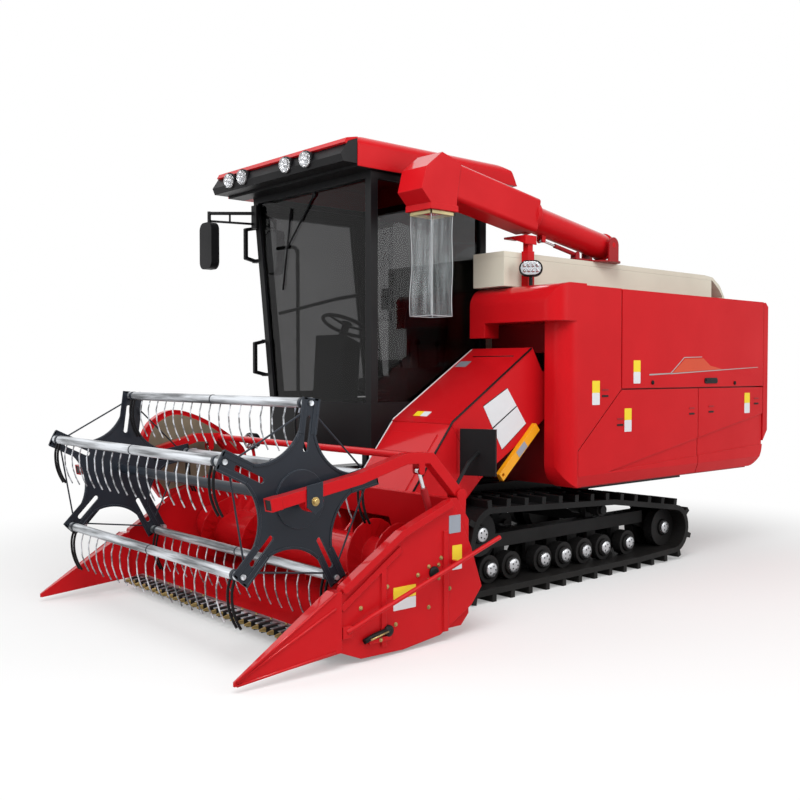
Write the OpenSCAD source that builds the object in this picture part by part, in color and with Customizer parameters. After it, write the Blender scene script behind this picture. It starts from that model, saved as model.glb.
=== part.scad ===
// Full-feed crawler combine harvester with a cab, a tined reel and a swinging unloading boom.
// Machine frame while modelling: X to the machine's left, Y to its rear, Z up, ground at Z = 0,
// X = 0 midway between the tracks. placed() moves everything to the middle of the overall box.

/* [Tracks] */
// Width of one rubber track
track_w = 500; // [400:10:550]
// Distance between the track centre lines
track_gauge = 1280; // [1150:10:1400]
// Thickness of the rubber band without its lugs
band_t = 40; // [30:1:45]
// Height of the lugs on the band
lug_h = 50; // [35:1:55]
// Distance from one lug to the next along the band
lug_pitch = 90; // [80:1:110]
// Radius of the ground rollers
roller_r = 95; // [80:1:100]
// Pitch radius of the drive sprocket
sprocket_r = 150; // [140:1:155]
// Radius of the rear tension wheel
idler_r = 150; // [130:1:170]

/* [Body] */
// Distance of the left side skin from the machine centre
body_left = 1000; // [980:5:1060]
// Distance of the right side skin from the machine centre
body_right = 1000; // [980:5:1060]
// Height of the underside of the body
body_low = 690; // [690:5:720]
// Height of the top of the red side skin
body_top = 2100; // [2080:5:2140]
// Place of the rear end of the body
body_rear = 2640; // [2600:5:2700]
// Thickness of the side covers
cover_t = 35; // [25:1:40]
// Height of the split between the upper and lower covers
cover_split = 1375; // [1330:5:1420]
// Height of the top of the grain tank
tank_top = 2360; // [2330:5:2370]
// Distance of the grain tank's left wall from the machine centre
tank_left = 500; // [470:5:560]

/* [Cab] */
// Distance of the cab's left side from the machine centre
cab_left = 160; // [140:5:165]
// Distance of the cab's right side at the floor from the machine centre
cab_right_low = 1065; // [1040:5:1100]
// Distance of the cab's right side at the roof from the machine centre
cab_right_top = 1290; // [1240:5:1300]
// Place of the cab's front
cab_front = -1115; // [-1160:5:-1080]
// Height of the cab floor's underside
cab_low = 950; // [920:5:980]
// Height of the lower edge of the glass
sill_h = 1290; // [1260:5:1320]
// Height of the roof from its underside to its top
roof_h = 210; // [190:5:240]
// Overall height
overall_h = 3070; // [3040:5:3110]
// Width of a cab pillar
pillar_w = 60; // [50:1:70]

/* [Header] */
// Distance of the header's middle from the machine centre
header_x = 140; // [100:5:160]
// Half the distance between the middles of the header's side sheets
header_half = 1190; // [1180:5:1240]
// Thickness of a side sheet with its ribs
sheet_t = 30; // [24:1:36]
// Radius of the feed screw's flights
screw_r = 240; // [220:1:250]
// Radius of the feed screw's drum
drum_r = 130; // [110:1:150]
// Width of the feeder house
feeder_w = 580; // [540:5:590]
// Distance between the cutter's guards
guard_pitch = 76.2; // [70:0.1:90]

/* [Reel] */
// Radius from the reel's axis to its tine bars
reel_r = 490; // [470:1:495]
// Distance from a reel arm's middle to the end star beside it
star_inset = 100; // [95:1:130]
// Number of tine bars
bar_count = 5; // [5:1:5]
// Outer radius of a tine bar
bar_r = 27; // [22:1:29]
// Reach of a tine below its bar's middle
tine_l = 265; // [240:1:270]
// Distance between the tines
tine_pitch = 110; // [100:1:140]
// Offset of the eccentric that keeps the tines upright
ecc = 90; // [80:1:95]

/* [Boom] */
// Radius of the unloading tube
tube_r = 100; // [90:1:104]
// Angle at which the boom rises to the front
boom_slope = 9.4; // [9:0.1:9.8]
// Reach of the boom from its swing axis to the middle of the outlet
boom_reach = 1850; // [1800:10:1880]

/* [Hidden] */
$fn = 40;
slip = 0.3;
run_gap = 6;

// Colours as the photo shows them
red = [0.78, 0.1, 0.12];
dark_red = [0.62, 0.08, 0.1];
cream = [0.87, 0.85, 0.78];
black = [0.07, 0.07, 0.075];
steel = [0.6, 0.62, 0.65];
slate = [0.2, 0.22, 0.26];
yellow = [0.92, 0.65, 0.1];
glass = [0.1, 0.12, 0.13, 0.45];

// Overall box
roof_low = overall_h - roof_h;
roof_left = cab_left + 30;
crop_rod_out = 55;
left_end = header_x + header_half + sheet_t / 2 + crop_rod_out;
right_end = -1565;
cutter_y = -2190;
divider_l = 718;
front_end = cutter_y - divider_l;
rear_end = 2780;
mid_x = (left_end + right_end) / 2;
mid_y = (front_end + rear_end) / 2;

// Track running gear, as [y, z, radius] around the loop
ground_z = lug_h + band_t;
roller_z = ground_z + roller_r;
roller_y = [-820, -600, -380, -55, 175, 410, 640, 940];
sprocket = [-690, 430, sprocket_r];
carrier = [610, 470, 48];
idler = [1410, 255, idler_r];
front_roller = [roller_y[0], roller_z, roller_r];
rear_roller = [roller_y[7], roller_z, roller_r];
loop = [front_roller, rear_roller, idler, carrier, sprocket];
arc_steps = 14;
roll_gap = 1.2;
beam_half = 60;
beam_low = 305;
beam_high = 400;
axle_r = 35;
wheel_half = 130;
hanger_half = 15;

// Chassis
rail_in = 280;
rail_out = 360;
rail_low = 560;
rail_front = -640;
rail_rear = 2300;
cross_half = 40;
cross_y = [90, 1200, 2220];
beam_y = [-100, 950];
beam_top = 390;
tow_y = rail_rear + 60;
tow_z = rail_low + 50;
ram_lug_x = 44;
ram_lug_t = 16;

// Threshing housing: a tunnel from the feeder to the straw outlet
housing_left = body_left - cover_t - 10;
housing_t = 45;

// Header lift: the feeder turns about its upper shaft
lift_y = 60;
lift_z = 1450;
lift_pin_r = 30;
lift_ear_r = 56;
feeder_x0 = 170;
feeder_x1 = feeder_x0 + feeder_w;
feeder_wall = 30;
lift_ram_x = 222;
lift_ram_a = [0, 620];
lift_ram_b = [-800, 540];

// Header
screw_y = -1650;
screw_z = 400;
trough_r = screw_r + 35;
trough_t = 25;
header_back = -1345;
cutter_z = 70;
sheet_in = header_half - sheet_t / 2;

// Reel
reel_y = -2420;
reel_z = 855;
star_t = 12;
bar_angle = 10;
reel_pivot = [-1395, 800];
arm_w = 60;
arm_gap = 15;
arm_half = sheet_in - arm_gap - arm_w / 2;
star_half = arm_half - star_inset;
shaft_r = 30;
ecc_disc_r = ecc + shaft_r + 30;
crank_t = 10;
crank_gap = 6;
pin_r = 9;
reel_ram_a = [-1600, 700];
reel_ram_b = [-1690, 955];
reel_ram_x = arm_half;

// Boom
boom_x = 450;
boom_y = 1000;
boom_z = tank_top + tube_r + 34;
boom_ram_a = [690, tank_top + 46];
boom_ram_b = [290, tank_top + 120];

// Basic shapes
module placed() translate([-mid_x, -mid_y, 0]) children();
module block(x0, x1, y0, y1, z0, z1) translate([x0, y0, z0]) cube([x1 - x0, y1 - y0, z1 - z0]);
// A profile drawn in Y and Z, pushed along X from x0 to x1
module along_x(x0, x1) translate([x0, 0, 0]) rotate([90, 0, 90]) linear_extrude(x1 - x0) children();
// A profile drawn in X and Z, pushed along Y from y0 to y1
module along_y(y0, y1) translate([0, y1, 0]) rotate([90, 0, 0]) linear_extrude(y1 - y0) children();
module rod_x(x0, x1, y, z, r) translate([x0, y, z]) rotate([0, 90, 0]) cylinder(r = r, h = x1 - x0);
module rod(p, q, r) {
  d = q - p;
  translate(p) rotate([0, acos(d[2] / norm(d)), atan2(d[1], d[0])]) cylinder(r = r, h = norm(d));
}
// A flat bar of the given width between two points of a profile
module bar_2d(p, q, w) {
  d = q - p;
  translate(p) rotate(atan2(d[1], d[0])) translate([0, -w / 2]) square([norm(d), w]);
}
// A bent tube's side view: straight stretches with round corners
module bent_2d(points, w) {
  for (i = [0 : len(points) - 2]) bar_2d(points[i], points[i + 1], w);
  for (p = points) translate(p) circle(d = w + 1);
}

// A rectangle about its middle with round corners
module rounded(w, h, r) {
  square([w - 2 * r, h], center = true);
  square([w, h - 2 * r], center = true);
  for (x = [-1, 1], y = [-1, 1]) translate([x * (w / 2 - r), y * (h / 2 - r)]) circle(r = r);
}

// Faces of a shape swept through n steps with the given number of sides
function swept_faces(n, sides) = concat(
  [[for (k = [0 : sides - 1]) k]],
  [for (i = [0 : n - 1], k = [0 : sides - 1])
    let (a = sides * i + k, b = sides * i + (k + 1) % sides)
    each [[a, a + sides, b], [b, a + sides, b + sides]]],
  [[for (k = [sides - 1 : -1 : 0]) sides * n + k]]
);
function unit(v) = v / norm(v);
function path_dir(p, i) =
  i == 0 ? unit(p[1] - p[0])
  : i == len(p) - 1 ? unit(p[i] - p[i - 1])
  : unit(unit(p[i + 1] - p[i]) + unit(p[i] - p[i - 1]));
// A bent round bar along a list of points
module tube(p, r, sides = 10, across = [1, 0.1, 0.05]) {
  points = [
    for (i = [0 : len(p) - 1])
      let (d = path_dir(p, i), u = unit(cross(d, across)), v = cross(d, u))
      for (k = [0 : sides - 1]) p[i] + r * (cos(360 * k / sides) * u + sin(360 * k / sides) * v)
  ];
  polyhedron(points, swept_faces(len(p) - 1, sides));
}

// Track loop
function tangent(a, b) =
  atan2(b[1] - a[1], b[0] - a[0]) - acos((a[2] - b[2]) / norm([b[0] - a[0], b[1] - a[1]]));
function turn(a0, a1) = a1 < a0 ? turn(a0, a1 + 360) : a1 - a0;
function loop_points(grow) = [
  for (i = [0 : len(loop) - 1])
    let (
      before = loop[(i + len(loop) - 1) % len(loop)],
      here = loop[i],
      after = loop[(i + 1) % len(loop)],
      a0 = tangent(before, here),
      sweep = turn(a0, tangent(here, after))
    )
    for (k = [0 : arc_steps])
      let (a = a0 + sweep * k / arc_steps)
      [here[0] + (here[2] + grow) * cos(a), here[1] + (here[2] + grow) * sin(a)]
];
band_outer = loop_points(band_t);
band_n = len(band_outer);
band_run = [
  for (i = 0, s = 0; i <= band_n;
       s = s + norm(band_outer[(i + 1) % band_n] - band_outer[i % band_n]), i = i + 1) s
];
band_l = band_run[band_n];
lug_count = 2 * round(band_l / lug_pitch / 2);
lug_inset = 3;

module lug(side) {
  reach = track_w * 0.54;
  skew = lug_pitch * 0.5;
  foot = lug_pitch * 0.42;
  scale([side, 1, 1])
    linear_extrude(lug_h + 8)
      polygon([[0, -foot / 2], [reach * 0.45, -foot / 2], [reach, skew - foot / 2],
               [reach, skew + foot / 2], [reach * 0.45, foot / 2], [0, foot / 2]]);
}

module track(side) {
  middle = side * track_gauge / 2;
  color(black) {
    along_x(middle - track_w / 2, middle + track_w / 2) difference() {
      polygon(loop_points(band_t));
      polygon(loop_points(0));
    }
    for (i = [0 : lug_count - 1]) {
      s = (i + 0.5) * band_l / lug_count;
      k = max([for (j = [0 : band_n - 1]) if (band_run[j] <= s) j]);
      p = band_outer[k % band_n];
      q = band_outer[(k + 1) % band_n];
      u = (q - p) / max(norm(q - p), 0.001);
      at = p + u * (s - band_run[k]);
      hand = i % 2 == 0 ? 1 : -1;
      translate([middle, at[0], at[1]])
        rotate([atan2(u[1], u[0]) + 180, 0, 0])
          translate([hand * (track_w / 2 - lug_inset), 0, -8])
            lug(-hand);
    }
  }
}

module wheel(y, z, r, middle, face) {
  for (s = [-1, 1]) rod_x(middle + s * (wheel_half - face / 2) - face / 2,
                          middle + s * (wheel_half - face / 2) + face / 2, y, z, r);
  rod_x(middle - wheel_half - 25, middle + wheel_half + 25, y, z, axle_r);
}

module rollers(side) {
  middle = side * track_gauge / 2;
  color(slate) {
    for (y = roller_y) wheel(y, roller_z, roller_r - roll_gap, middle, 75);
    wheel(carrier[0], carrier[1], carrier[2] - roll_gap, middle, 75);
    wheel(idler[0], idler[1], idler[2] - roll_gap, middle, 75);
    wheel(sprocket[0], sprocket[1], sprocket[2] - roll_gap, middle, 90);
  }
}

module track_frame(side) {
  middle = side * track_gauge / 2;
  color(slate) difference() {
    union() {
      block(middle - beam_half, middle + beam_half, sprocket[0] + sprocket[2] + 30, idler[0] - idler[2] - 30,
            beam_low, beam_high);
      along_x(middle - hanger_half, middle + hanger_half) {
        for (y = roller_y) {
          top = [max(y, sprocket[0] + sprocket[2] + 60), beam_low + 20];
          bar_2d([y, roller_z], top, 3 * axle_r);
          translate([y, roller_z]) circle(r = 1.5 * axle_r + 3);
        }
        bar_2d([carrier[0], beam_high - 20], [carrier[0], carrier[1]], 2.4 * axle_r);
        translate([carrier[0], carrier[1]]) circle(r = 1.2 * axle_r + 3);
        bar_2d([idler[0] - idler[2] - 60, beam_low + 35], [idler[0], idler[1]], 3 * axle_r);
        translate([idler[0], idler[1]]) circle(r = 1.5 * axle_r + 3);
      }
    }
    for (w = concat([for (y = roller_y) [y, roller_z]], [[carrier[0], carrier[1]], [idler[0], idler[1]]]))
      rod_x(middle - beam_half, middle + beam_half, w[0], w[1], axle_r + slip);
  }
}

// Two rails on posts over the axle beams, with cross-members bolted between them
module chassis_frame() {
  inner = track_gauge / 2 - beam_half;
  span = rail_in - slip;
  color(black) difference() {
    union() {
      for (s = [-1, 1]) {
        sides = [s * rail_in, s * rail_out];
        block(min(sides), max(sides), rail_front, rail_rear, rail_low, body_low);
        for (y = beam_y)
          block(min(sides), max(sides), y - cross_half, y + cross_half, beam_top + slip, rail_low - slip);
      }
      for (y = cross_y) block(-span, span, y - cross_half, y + cross_half, rail_low, body_low);
      for (y = beam_y) block(-inner, inner, y - cross_half, y + cross_half, beam_low, beam_top);
      for (s = [-1, 1])
        along_x(lift_ram_x + s * ram_lug_x - ram_lug_t / 2, lift_ram_x + s * ram_lug_x + ram_lug_t / 2)
          bent_2d([lift_ram_a, [cross_y[0], lift_ram_a[1]]], 90);
      along_x(-15, 15) bent_2d([[cross_y[2], tow_z], [tow_y, tow_z]], 90);
    }
    rod_x(-20, 20, tow_y, tow_z, 20);
    rod_x(lift_ram_x - 60, lift_ram_x + 60, lift_ram_a[0], lift_ram_a[1], 20 + slip);
  }
}

module drive_axle() {
  hub = track_gauge / 2 - wheel_half - 25;
  color(slate) {
    block(-170, 170, sprocket[0] - 150, sprocket[0] + 160, 300, body_low);
    rod_x(-hub, hub, sprocket[0], sprocket[1], 70);
  }
}

module engine() {
  color(slate) block(-820, -180, 20, 640, body_low, 1330);
}

module thresher_housing() {
  color(dark_red) {
    difference() {
      along_x(100, housing_left) polygon([
        [130, body_low], [2350, body_low], [2560, 900], [2560, body_top - 20], [130, body_top - 20]
      ]);
      along_x(100 + housing_t, housing_left - housing_t) polygon([
        [130 + housing_t, body_low + housing_t], [2330, body_low + housing_t], [2561, 960],
        [2561, body_top - 20 - housing_t], [130 + housing_t, body_top - 20 - housing_t]
      ]);
      block(feeder_x0 + feeder_wall, feeder_x1 - feeder_wall, 129, 131 + housing_t, 1280, 1640);
    }
    for (x = [feeder_x0 - run_gap - 34, feeder_x1 + run_gap]) along_x(x, x + 34)
      bent_2d([[lift_y, lift_z], [130 + lift_ear_r - housing_t, lift_z]], 2 * lift_ear_r - 4);
    rod_x(feeder_x0 - run_gap - 20, feeder_x0 + feeder_wall - 4, lift_y, lift_z, lift_pin_r);
    rod_x(feeder_x1 - feeder_wall + 4, feeder_x1 + run_gap + 20, lift_y, lift_z, lift_pin_r);
  }
}

// Left side skins: the fairing's lower edge runs down to the front along a slanting seam
skin_x = body_left - cover_t;
seam_top = [540, cover_split + 5];
seam_low = [45, 960];
seam_gap = 8;
cover_y0 = 545;
cover_y1 = 2560;
cover_axis_x = body_left - 18;
cover_axis_z = body_top - 18;
cover_pin_r = 8;
fairing_front = -185;
column_x = 800;
column_front = -80;
corner_r = 120;

module column_plan() {
  difference() {
    translate([column_x, column_front]) square([body_left - column_x, 120]);
    translate([body_left - corner_r, column_front]) square([corner_r + 1, corner_r]);
  }
  translate([body_left - corner_r, column_front + corner_r]) circle(r = corner_r);
}

hood_low = 1850;
hood_high = body_top + 12;
hood_r = 140;
hood_in = cab_left + 15;
cheek_w = 150;
cheek_low = hood_low - 105;
module hood_side() {
  translate([fairing_front, hood_low]) square([130 - fairing_front, hood_high - hood_r - hood_low]);
  translate([fairing_front + hood_r, hood_low]) square([130 - fairing_front - hood_r, hood_high - hood_low]);
  translate([fairing_front + hood_r, hood_high - hood_r]) circle(r = hood_r);
}
module hood_plan() {
  translate([hood_in, fairing_front]) square([body_left - corner_r - hood_in, 130 - fairing_front]);
  translate([hood_in, fairing_front + corner_r]) square([body_left - hood_in, 130 - fairing_front - corner_r]);
  translate([body_left - corner_r, fairing_front + corner_r]) circle(r = corner_r);
}
// What the round lower front corner of the left side takes away
foot_r = 170;
module foot_corner() {
  along_x(column_x - 1, body_left + 1) difference() {
    translate([column_front - 1, body_low - 1]) square(foot_r + 1);
    translate([column_front + foot_r, body_low + foot_r]) circle(r = foot_r);
  }
}
module front_fairing() {
  color(red) difference() {
    union() {
      intersection() {
        along_x(hood_in, body_left) hood_side();
        translate([0, 0, hood_low]) linear_extrude(hood_high - hood_low) hood_plan();
      }
      block(hood_in, hood_in + cheek_w, fairing_front, fairing_front + cheek_w, cheek_low, hood_low + 1);
      translate([0, 0, body_low]) linear_extrude(body_top - 10 - body_low) intersection() {
        column_plan();
        translate([column_x, column_front]) square([body_left - column_x, 120]);
      }
      block(column_x, housing_left, 39, 130, body_low, 1851);
      along_x(skin_x, body_left) polygon([
        [39, seam_low[1]], seam_low, seam_top, [cover_y0 - 15, seam_top[1]], [cover_y0 - 15, body_top],
        [39, body_top]
      ]);
      block(housing_left - 1, skin_x + 1, 39, 130, seam_low[1] + 80, body_top);
    }
    translate([cover_axis_x, cover_y0 - 60, cover_axis_z]) rotate([-90, 0, 0])
      cylinder(r = cover_pin_r + slip, h = 80);
    foot_corner();
  }
}

// Pressed lines of the lower panels: a long dart that widens to the rear, and a chamfered lower edge
dart_front = [382, 787];
dart_rear = [2556, 1144];
dart_low = [2556, 880];
dart_t = 9;
hem_h = 80;
hem_in = 30;
module pressed_lines() {
  along_x(body_left - dart_t, body_left + 1) polygon([dart_front, dart_low, dart_rear]);
  along_y(-100, body_rear) polygon([
    [body_left + 1, body_low + 10 + hem_h], [body_left + 1, body_low], [body_left - hem_in, body_low]
  ]);
}
tail_r = 190;
module lower_panel_front() {
  color(red) difference() {
    along_x(housing_left, body_left) polygon([
      [45, body_low + 10], [1545, body_low + 10], [1545, cover_split - 5], [seam_top[0] + 2, cover_split - 5],
      [seam_low[0] + 2, seam_low[1] - seam_gap], [45, seam_low[1] - seam_gap]
    ]);
    pressed_lines();
    foot_corner();
  }
}

module lower_panel_rear() {
  color(red) difference() {
    along_x(housing_left, body_left) {
      translate([1555, body_low + 10]) square([1000 - tail_r, cover_split - 15 - body_low]);
      translate([1555, body_low + 10 + tail_r]) square([1000, cover_split - 15 - body_low - tail_r]);
      translate([2555 - tail_r, body_low + 10 + tail_r]) circle(r = tail_r);
    }
    pressed_lines();
  }
}

module side_cover() {
  color(red) {
    block(skin_x, body_left, cover_y0, cover_y1, cover_split + 5, body_top - 2);
    translate([cover_axis_x, cover_y0 - 45, cover_axis_z]) rotate([-90, 0, 0])
      cylinder(r = cover_pin_r, h = cover_y1 - cover_y0 + 80);
  }
}

module rear_hood() {
  color(red) difference() {
    union() {
      along_x(105, housing_left) polygon([
        [2560, 905], [body_rear, 1000], [body_rear, body_top - 40], [2600, body_top - 5], [2560, body_top - 5]
      ]);
      along_x(housing_left - 1, body_left) polygon([
        [2566, 910], [body_rear, 1000], [body_rear, body_top - 40], [2600, body_top - 5], [2566, body_top - 5]
      ]);
      along_x(160, 900) polygon([
        [body_rear - 1, 1000], [rear_end, 1080], [rear_end, 1560], [body_rear - 1, 1720]
      ]);
    }
    along_x(190, 870) polygon([
      [2550, 860], [rear_end - 30, 1050], [rear_end - 30, 1545], [2550, 1710]
    ]);
    translate([cover_axis_x, 2500, cover_axis_z]) rotate([-90, 0, 0])
      cylinder(r = cover_pin_r + slip, h = 110);
  }
}

module right_panel() {
  color(red) along_x(-body_right, -body_right + cover_t) polygon([
    [610, body_low + 10], [2400, body_low + 10], [2560, 900], [2560, cover_split], [610, cover_split]
  ]);
  color(black) {
    block(-body_right + cover_t, -rail_in, 2180, 2260, body_low, body_low + 60);
    block(-body_right + cover_t, -rail_in, 700, 780, body_low, body_low + 60);
  }
}

module radiator_door() {
  color(red) difference() {
    block(-body_right, -body_right + cover_t, 20, 600, body_low + 10, cover_split);
    for (i = [0 : 9])
      block(-body_right - 1, -body_right + cover_t + 1, 80, 540,
            body_low + 130 + i * 50, body_low + 155 + i * 50);
  }
  color(black) block(-body_right + cover_t, -820, 60, 560, 760, 1300);
}

tank_wall = 40;
tank_low = cover_split + 15;
module grain_tank() {
  color(cream) difference() {
    union() {
      block(-body_right, 95, 30, 2560, tank_low, body_top + 13);
      along_x(-body_right + cover_t + 5, 95) polygon([
        [640, tank_low + 1], [900, 1000], [2000, 1000], [2300, tank_low + 1]
      ]);
      block(94, tank_left, 130, 2560, body_top - 20, body_top + 13);
      block(-body_right, tank_left, 30, 2560, body_top + 12, tank_top - tank_wall);
      block(roof_left + 5, tank_left, -170, 31, body_top + 12, tank_top - tank_wall);
    }
    along_x(-body_right + 2 * tank_wall, 95 - tank_wall) polygon([
      [30 + tank_wall, tank_low + tank_wall], [640, tank_low + tank_wall], [920, 1000 + tank_wall],
      [1980, 1000 + tank_wall], [2290, tank_low + tank_wall], [2560 - tank_wall, tank_low + tank_wall],
      [2560 - tank_wall, tank_top], [30 + tank_wall, tank_top]
    ]);
    block(0, tank_left - tank_wall, 30 + tank_wall, 2560 - tank_wall, body_top + 20, tank_top);
    block(roof_left + 5 + tank_wall, tank_left - tank_wall, -170 + tank_wall, 100, body_top + 50, tank_top);
  }
}

module tank_roof() {
  color(cream) {
    along_x(-body_right, tank_left) polygon([
      [30, tank_top - tank_wall], [30, tank_top], [2440, tank_top], [2580, tank_top - 12],
      [2700, tank_top - 80],
      [rear_end, 2180], [rear_end, body_top + 5], [rear_end - 30, body_top + 5], [rear_end - 30, 2180],
      [2685, tank_top - 115], [2572, tank_top - tank_wall]
    ]);
    block(roof_left + 5, tank_left, -170, 31, tank_top - tank_wall, tank_top);
  }
}

boom_rest_y = 50;
module boom_rest() {
  drop = boom_z + (boom_y - boom_rest_y) * tan(boom_slope) - 135 / cos(boom_slope) - run_gap;
  color(cream)
    block(tank_left, tank_left + 60, boom_rest_y - 35, boom_rest_y + 35, body_top + 15, tank_top + 10);
  color(red) {
    block(tank_left + 5, tank_left + 55, boom_rest_y - 25, boom_rest_y + 25, tank_top + 10, drop - 60);
    along_y(boom_rest_y - 60, boom_rest_y + 60)
      polygon([[boom_x - 60, drop - 30], [tank_left + 60, drop - 90], [tank_left + 60, drop - 30]]);
    block(boom_x - 100, tank_left + 60, boom_rest_y - 60, boom_rest_y + 60, drop - 40, drop - 25);
  }
}

module work_lamp() {
  color(black) {
    translate([620, -20, hood_high + slip]) cylinder(r = 13, h = 90);
    translate([620, -20, body_top + 135]) rotate([90, 0, 40]) linear_extrude(62, center = true)
      bent_2d([[-27, 0], [27, 0]], 112);
  }
}

// Unloading boom, modelled along its own axis: local Y runs to the rear from the lift pin
module boom_axis() translate([boom_x, boom_y, boom_z]) rotate([-boom_slope, 0, 0]) children();

cheek_in = tube_r + 20;
cheek_t = 16;
turret_low = tank_top + slip;
module boom_turret() {
  color(dark_red) difference() {
    union() {
      translate([boom_x, boom_y, turret_low]) cylinder(r = tube_r + 60, h = 10);
      for (s = [-1, 1]) translate([boom_x + s * (cheek_in + cheek_t / 2), 0, 0])
        along_x(-cheek_t / 2, cheek_t / 2) {
          translate([boom_y - 60, turret_low]) square([120, boom_z - turret_low]);
          translate([boom_y, boom_z]) circle(r = 60);
        }
      block(boom_x - 30, boom_x + 30, boom_ram_a[0] - 22, boom_y - 70,
            tank_top + run_gap, tank_top + run_gap + 12);
      for (s = [-1, 1]) along_x(boom_x + s * 22 - 5, boom_x + s * 22 + 5) {
        translate(boom_ram_a) circle(r = 22);
        translate([boom_ram_a[0] - 22, tank_top + run_gap]) square([44, boom_ram_a[1] - tank_top - run_gap]);
      }
    }
    rod_x(boom_x - 200, boom_x + 200, boom_y, boom_z, 22 + slip);
    rod_x(boom_x - 60, boom_x + 60, boom_ram_a[0], boom_ram_a[1], 10 + slip);
  }
}

casing_y = -880;
module boom_tube() {
  color(red) {
    boom_axis() {
      translate([0, 40, 0]) rotate([90, 0, 0]) cylinder(r = tube_r, h = 40 - casing_y);
      translate([0, 40, 0]) rotate([90, 0, 0]) cylinder(r = tube_r + 10, h = 20);
      translate([0, casing_y + 20, 0]) rotate([90, 0, 0]) cylinder(r = tube_r + 30, h = 40);
      rod_x(-cheek_in - cheek_t, cheek_in + cheek_t, 0, 0, 22);
      translate([0, casing_y, 0]) rotate([90, 0, 0]) linear_extrude(casing_y - casing_end)
        offset(r = 30) square([2 * tube_r - 30, 2 * tube_r - 10], center = true);
    }
    for (s = [-1, 1]) along_x(boom_x + s * 22 - 5, boom_x + s * 22 + 5) {
      translate(boom_ram_b) circle(r = 20);
      bar_2d(boom_ram_b, boom_ram_b + [0, 70], 40);
    }
    rod_x(boom_x - 24, boom_x + 24, boom_ram_b[0], boom_ram_b[1], 7);
  }
}

outlet_w = 240;
outlet_y = boom_y - boom_reach * cos(boom_slope);
outlet_z = boom_z + boom_reach * sin(boom_slope);
// A point of the boom's side view, given along and across its axis
function on_boom(y, z) = [
  boom_y + y * cos(boom_slope) + z * sin(boom_slope), boom_z - y * sin(boom_slope) + z * cos(boom_slope)
];
casing_end = 140 - boom_reach;
module boom_outlet() {
  color(red) difference() {
    union() {
      along_x(boom_x - outlet_w / 2, boom_x + outlet_w / 2) polygon([
        on_boom(casing_end, 125), [outlet_y - 20, outlet_z + 150], [outlet_y - 160, outlet_z + 40],
        [outlet_y - 200, outlet_z - 110], [outlet_y - 120, outlet_z - 190], [outlet_y + 115, outlet_z - 190],
        on_boom(casing_end, -125)
      ]);
    }
    block(boom_x - 95, boom_x + 95, outlet_y - 95, outlet_y + 95, outlet_z - 200, outlet_z - 30);
  }
  color(cream) difference() {
    block(boom_x - 125, boom_x + 125, outlet_y - 125, outlet_y + 125, outlet_z - 230, outlet_z - 190);
    block(boom_x - 95, boom_x + 95, outlet_y - 95, outlet_y + 95, outlet_z - 240, outlet_z - 180);
  }
}

sleeve_low = 1870;
module spout_sleeve() {
  color([0.85, 0.88, 0.9, 0.4]) difference() {
    block(boom_x - 105, boom_x + 105, outlet_y - 105, outlet_y + 105, sleeve_low, outlet_z - 230 - slip);
    block(boom_x - 97, boom_x + 97, outlet_y - 97, outlet_y + 97, sleeve_low - 1, outlet_z - 229);
  }
}

// Rams: a barrel turns on pin a, its rod slides out towards pin b
module ram_barrel(x, a, b, r, share, hole = 0) {
  d = (b - a) / norm(b - a);
  q = a + d * norm(b - a) * share;
  difference() {
    union() {
      rod([x, a[0], a[1]] + 0.5 * r * [0, d[0], d[1]], [x, q[0], q[1]], r);
      rod_x(x - r * 0.6, x + r * 0.6, a[0], a[1], r);
    }
    rod([x, a[0], a[1]] + 1.6 * r * [0, d[0], d[1]], [x, q[0] + d[0], q[1] + d[1]], r * 0.55 + slip);
    if (hole > 0) rod_x(x - r, x + r, a[0], a[1], hole + slip);
  }
}
module ram_pin(x, a, r, half) rod_x(x - half, x + half, a[0], a[1], r);
module ram_rod(x, a, b, r, hole) {
  d = (b - a) / norm(b - a);
  p = a + 1.9 * r * d;
  difference() {
    union() {
      rod([x, p[0], p[1]], [x, b[0] - d[0] * hole, b[1] - d[1] * hole], r * 0.55);
      rod_x(x - r * 0.6, x + r * 0.6, b[0], b[1], hole + 0.4 * r);
    }
    rod_x(x - r, x + r, b[0], b[1], hole);
  }
}

module boom_ram_barrel() {
  color(dark_red) {
    ram_barrel(boom_x, boom_ram_a, boom_ram_b, 16, 0.62);
    ram_pin(boom_x, boom_ram_a, 10, 28);
  }
}
module boom_ram_rod() color(steel) ram_rod(boom_x, boom_ram_a, boom_ram_b, 16, 12);

// Cab
lean = atan((cab_right_top - cab_right_low) / (roof_low - sill_h));
door_l = (roof_low - sill_h) / cos(lean);
cab_rear = 0;
function cab_right(z) = -cab_right_low - (z - sill_h) * tan(lean);
// Local frame of the leaning right side: X across the wall, Y along the machine, Z up the wall
module right_wall() translate([-cab_right_low, 0, sill_h]) rotate([0, -lean, 0]) children();

module cab_base() {
  color(black) {
    block(-cab_right_low, cab_left, cab_front, cab_rear, cab_low, cab_low + 60);
    difference() {
      block(-cab_right_low, cab_left, cab_front, cab_rear, cab_low + 59, sill_h);
      block(-cab_right_low + 50, cab_left - 50, cab_front + 50, cab_rear - 50, cab_low + 50, sill_h + 1);
    }
    block(-cab_right_low - 160, -cab_right_low + 30, -900, -150, cab_low - 250, cab_low - 225);
    for (y = [-890, -180])
      block(-cab_right_low - 30, -cab_right_low + 30, y, y + 30, cab_low - 230, cab_low + 10);
    block(60, 150, -700, -620, body_low, cab_low + 10);
    for (y = [-600, -100]) block(-rail_out, -rail_in, y - 40, y + 40, body_low, cab_low + 10);
  }
}

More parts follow.
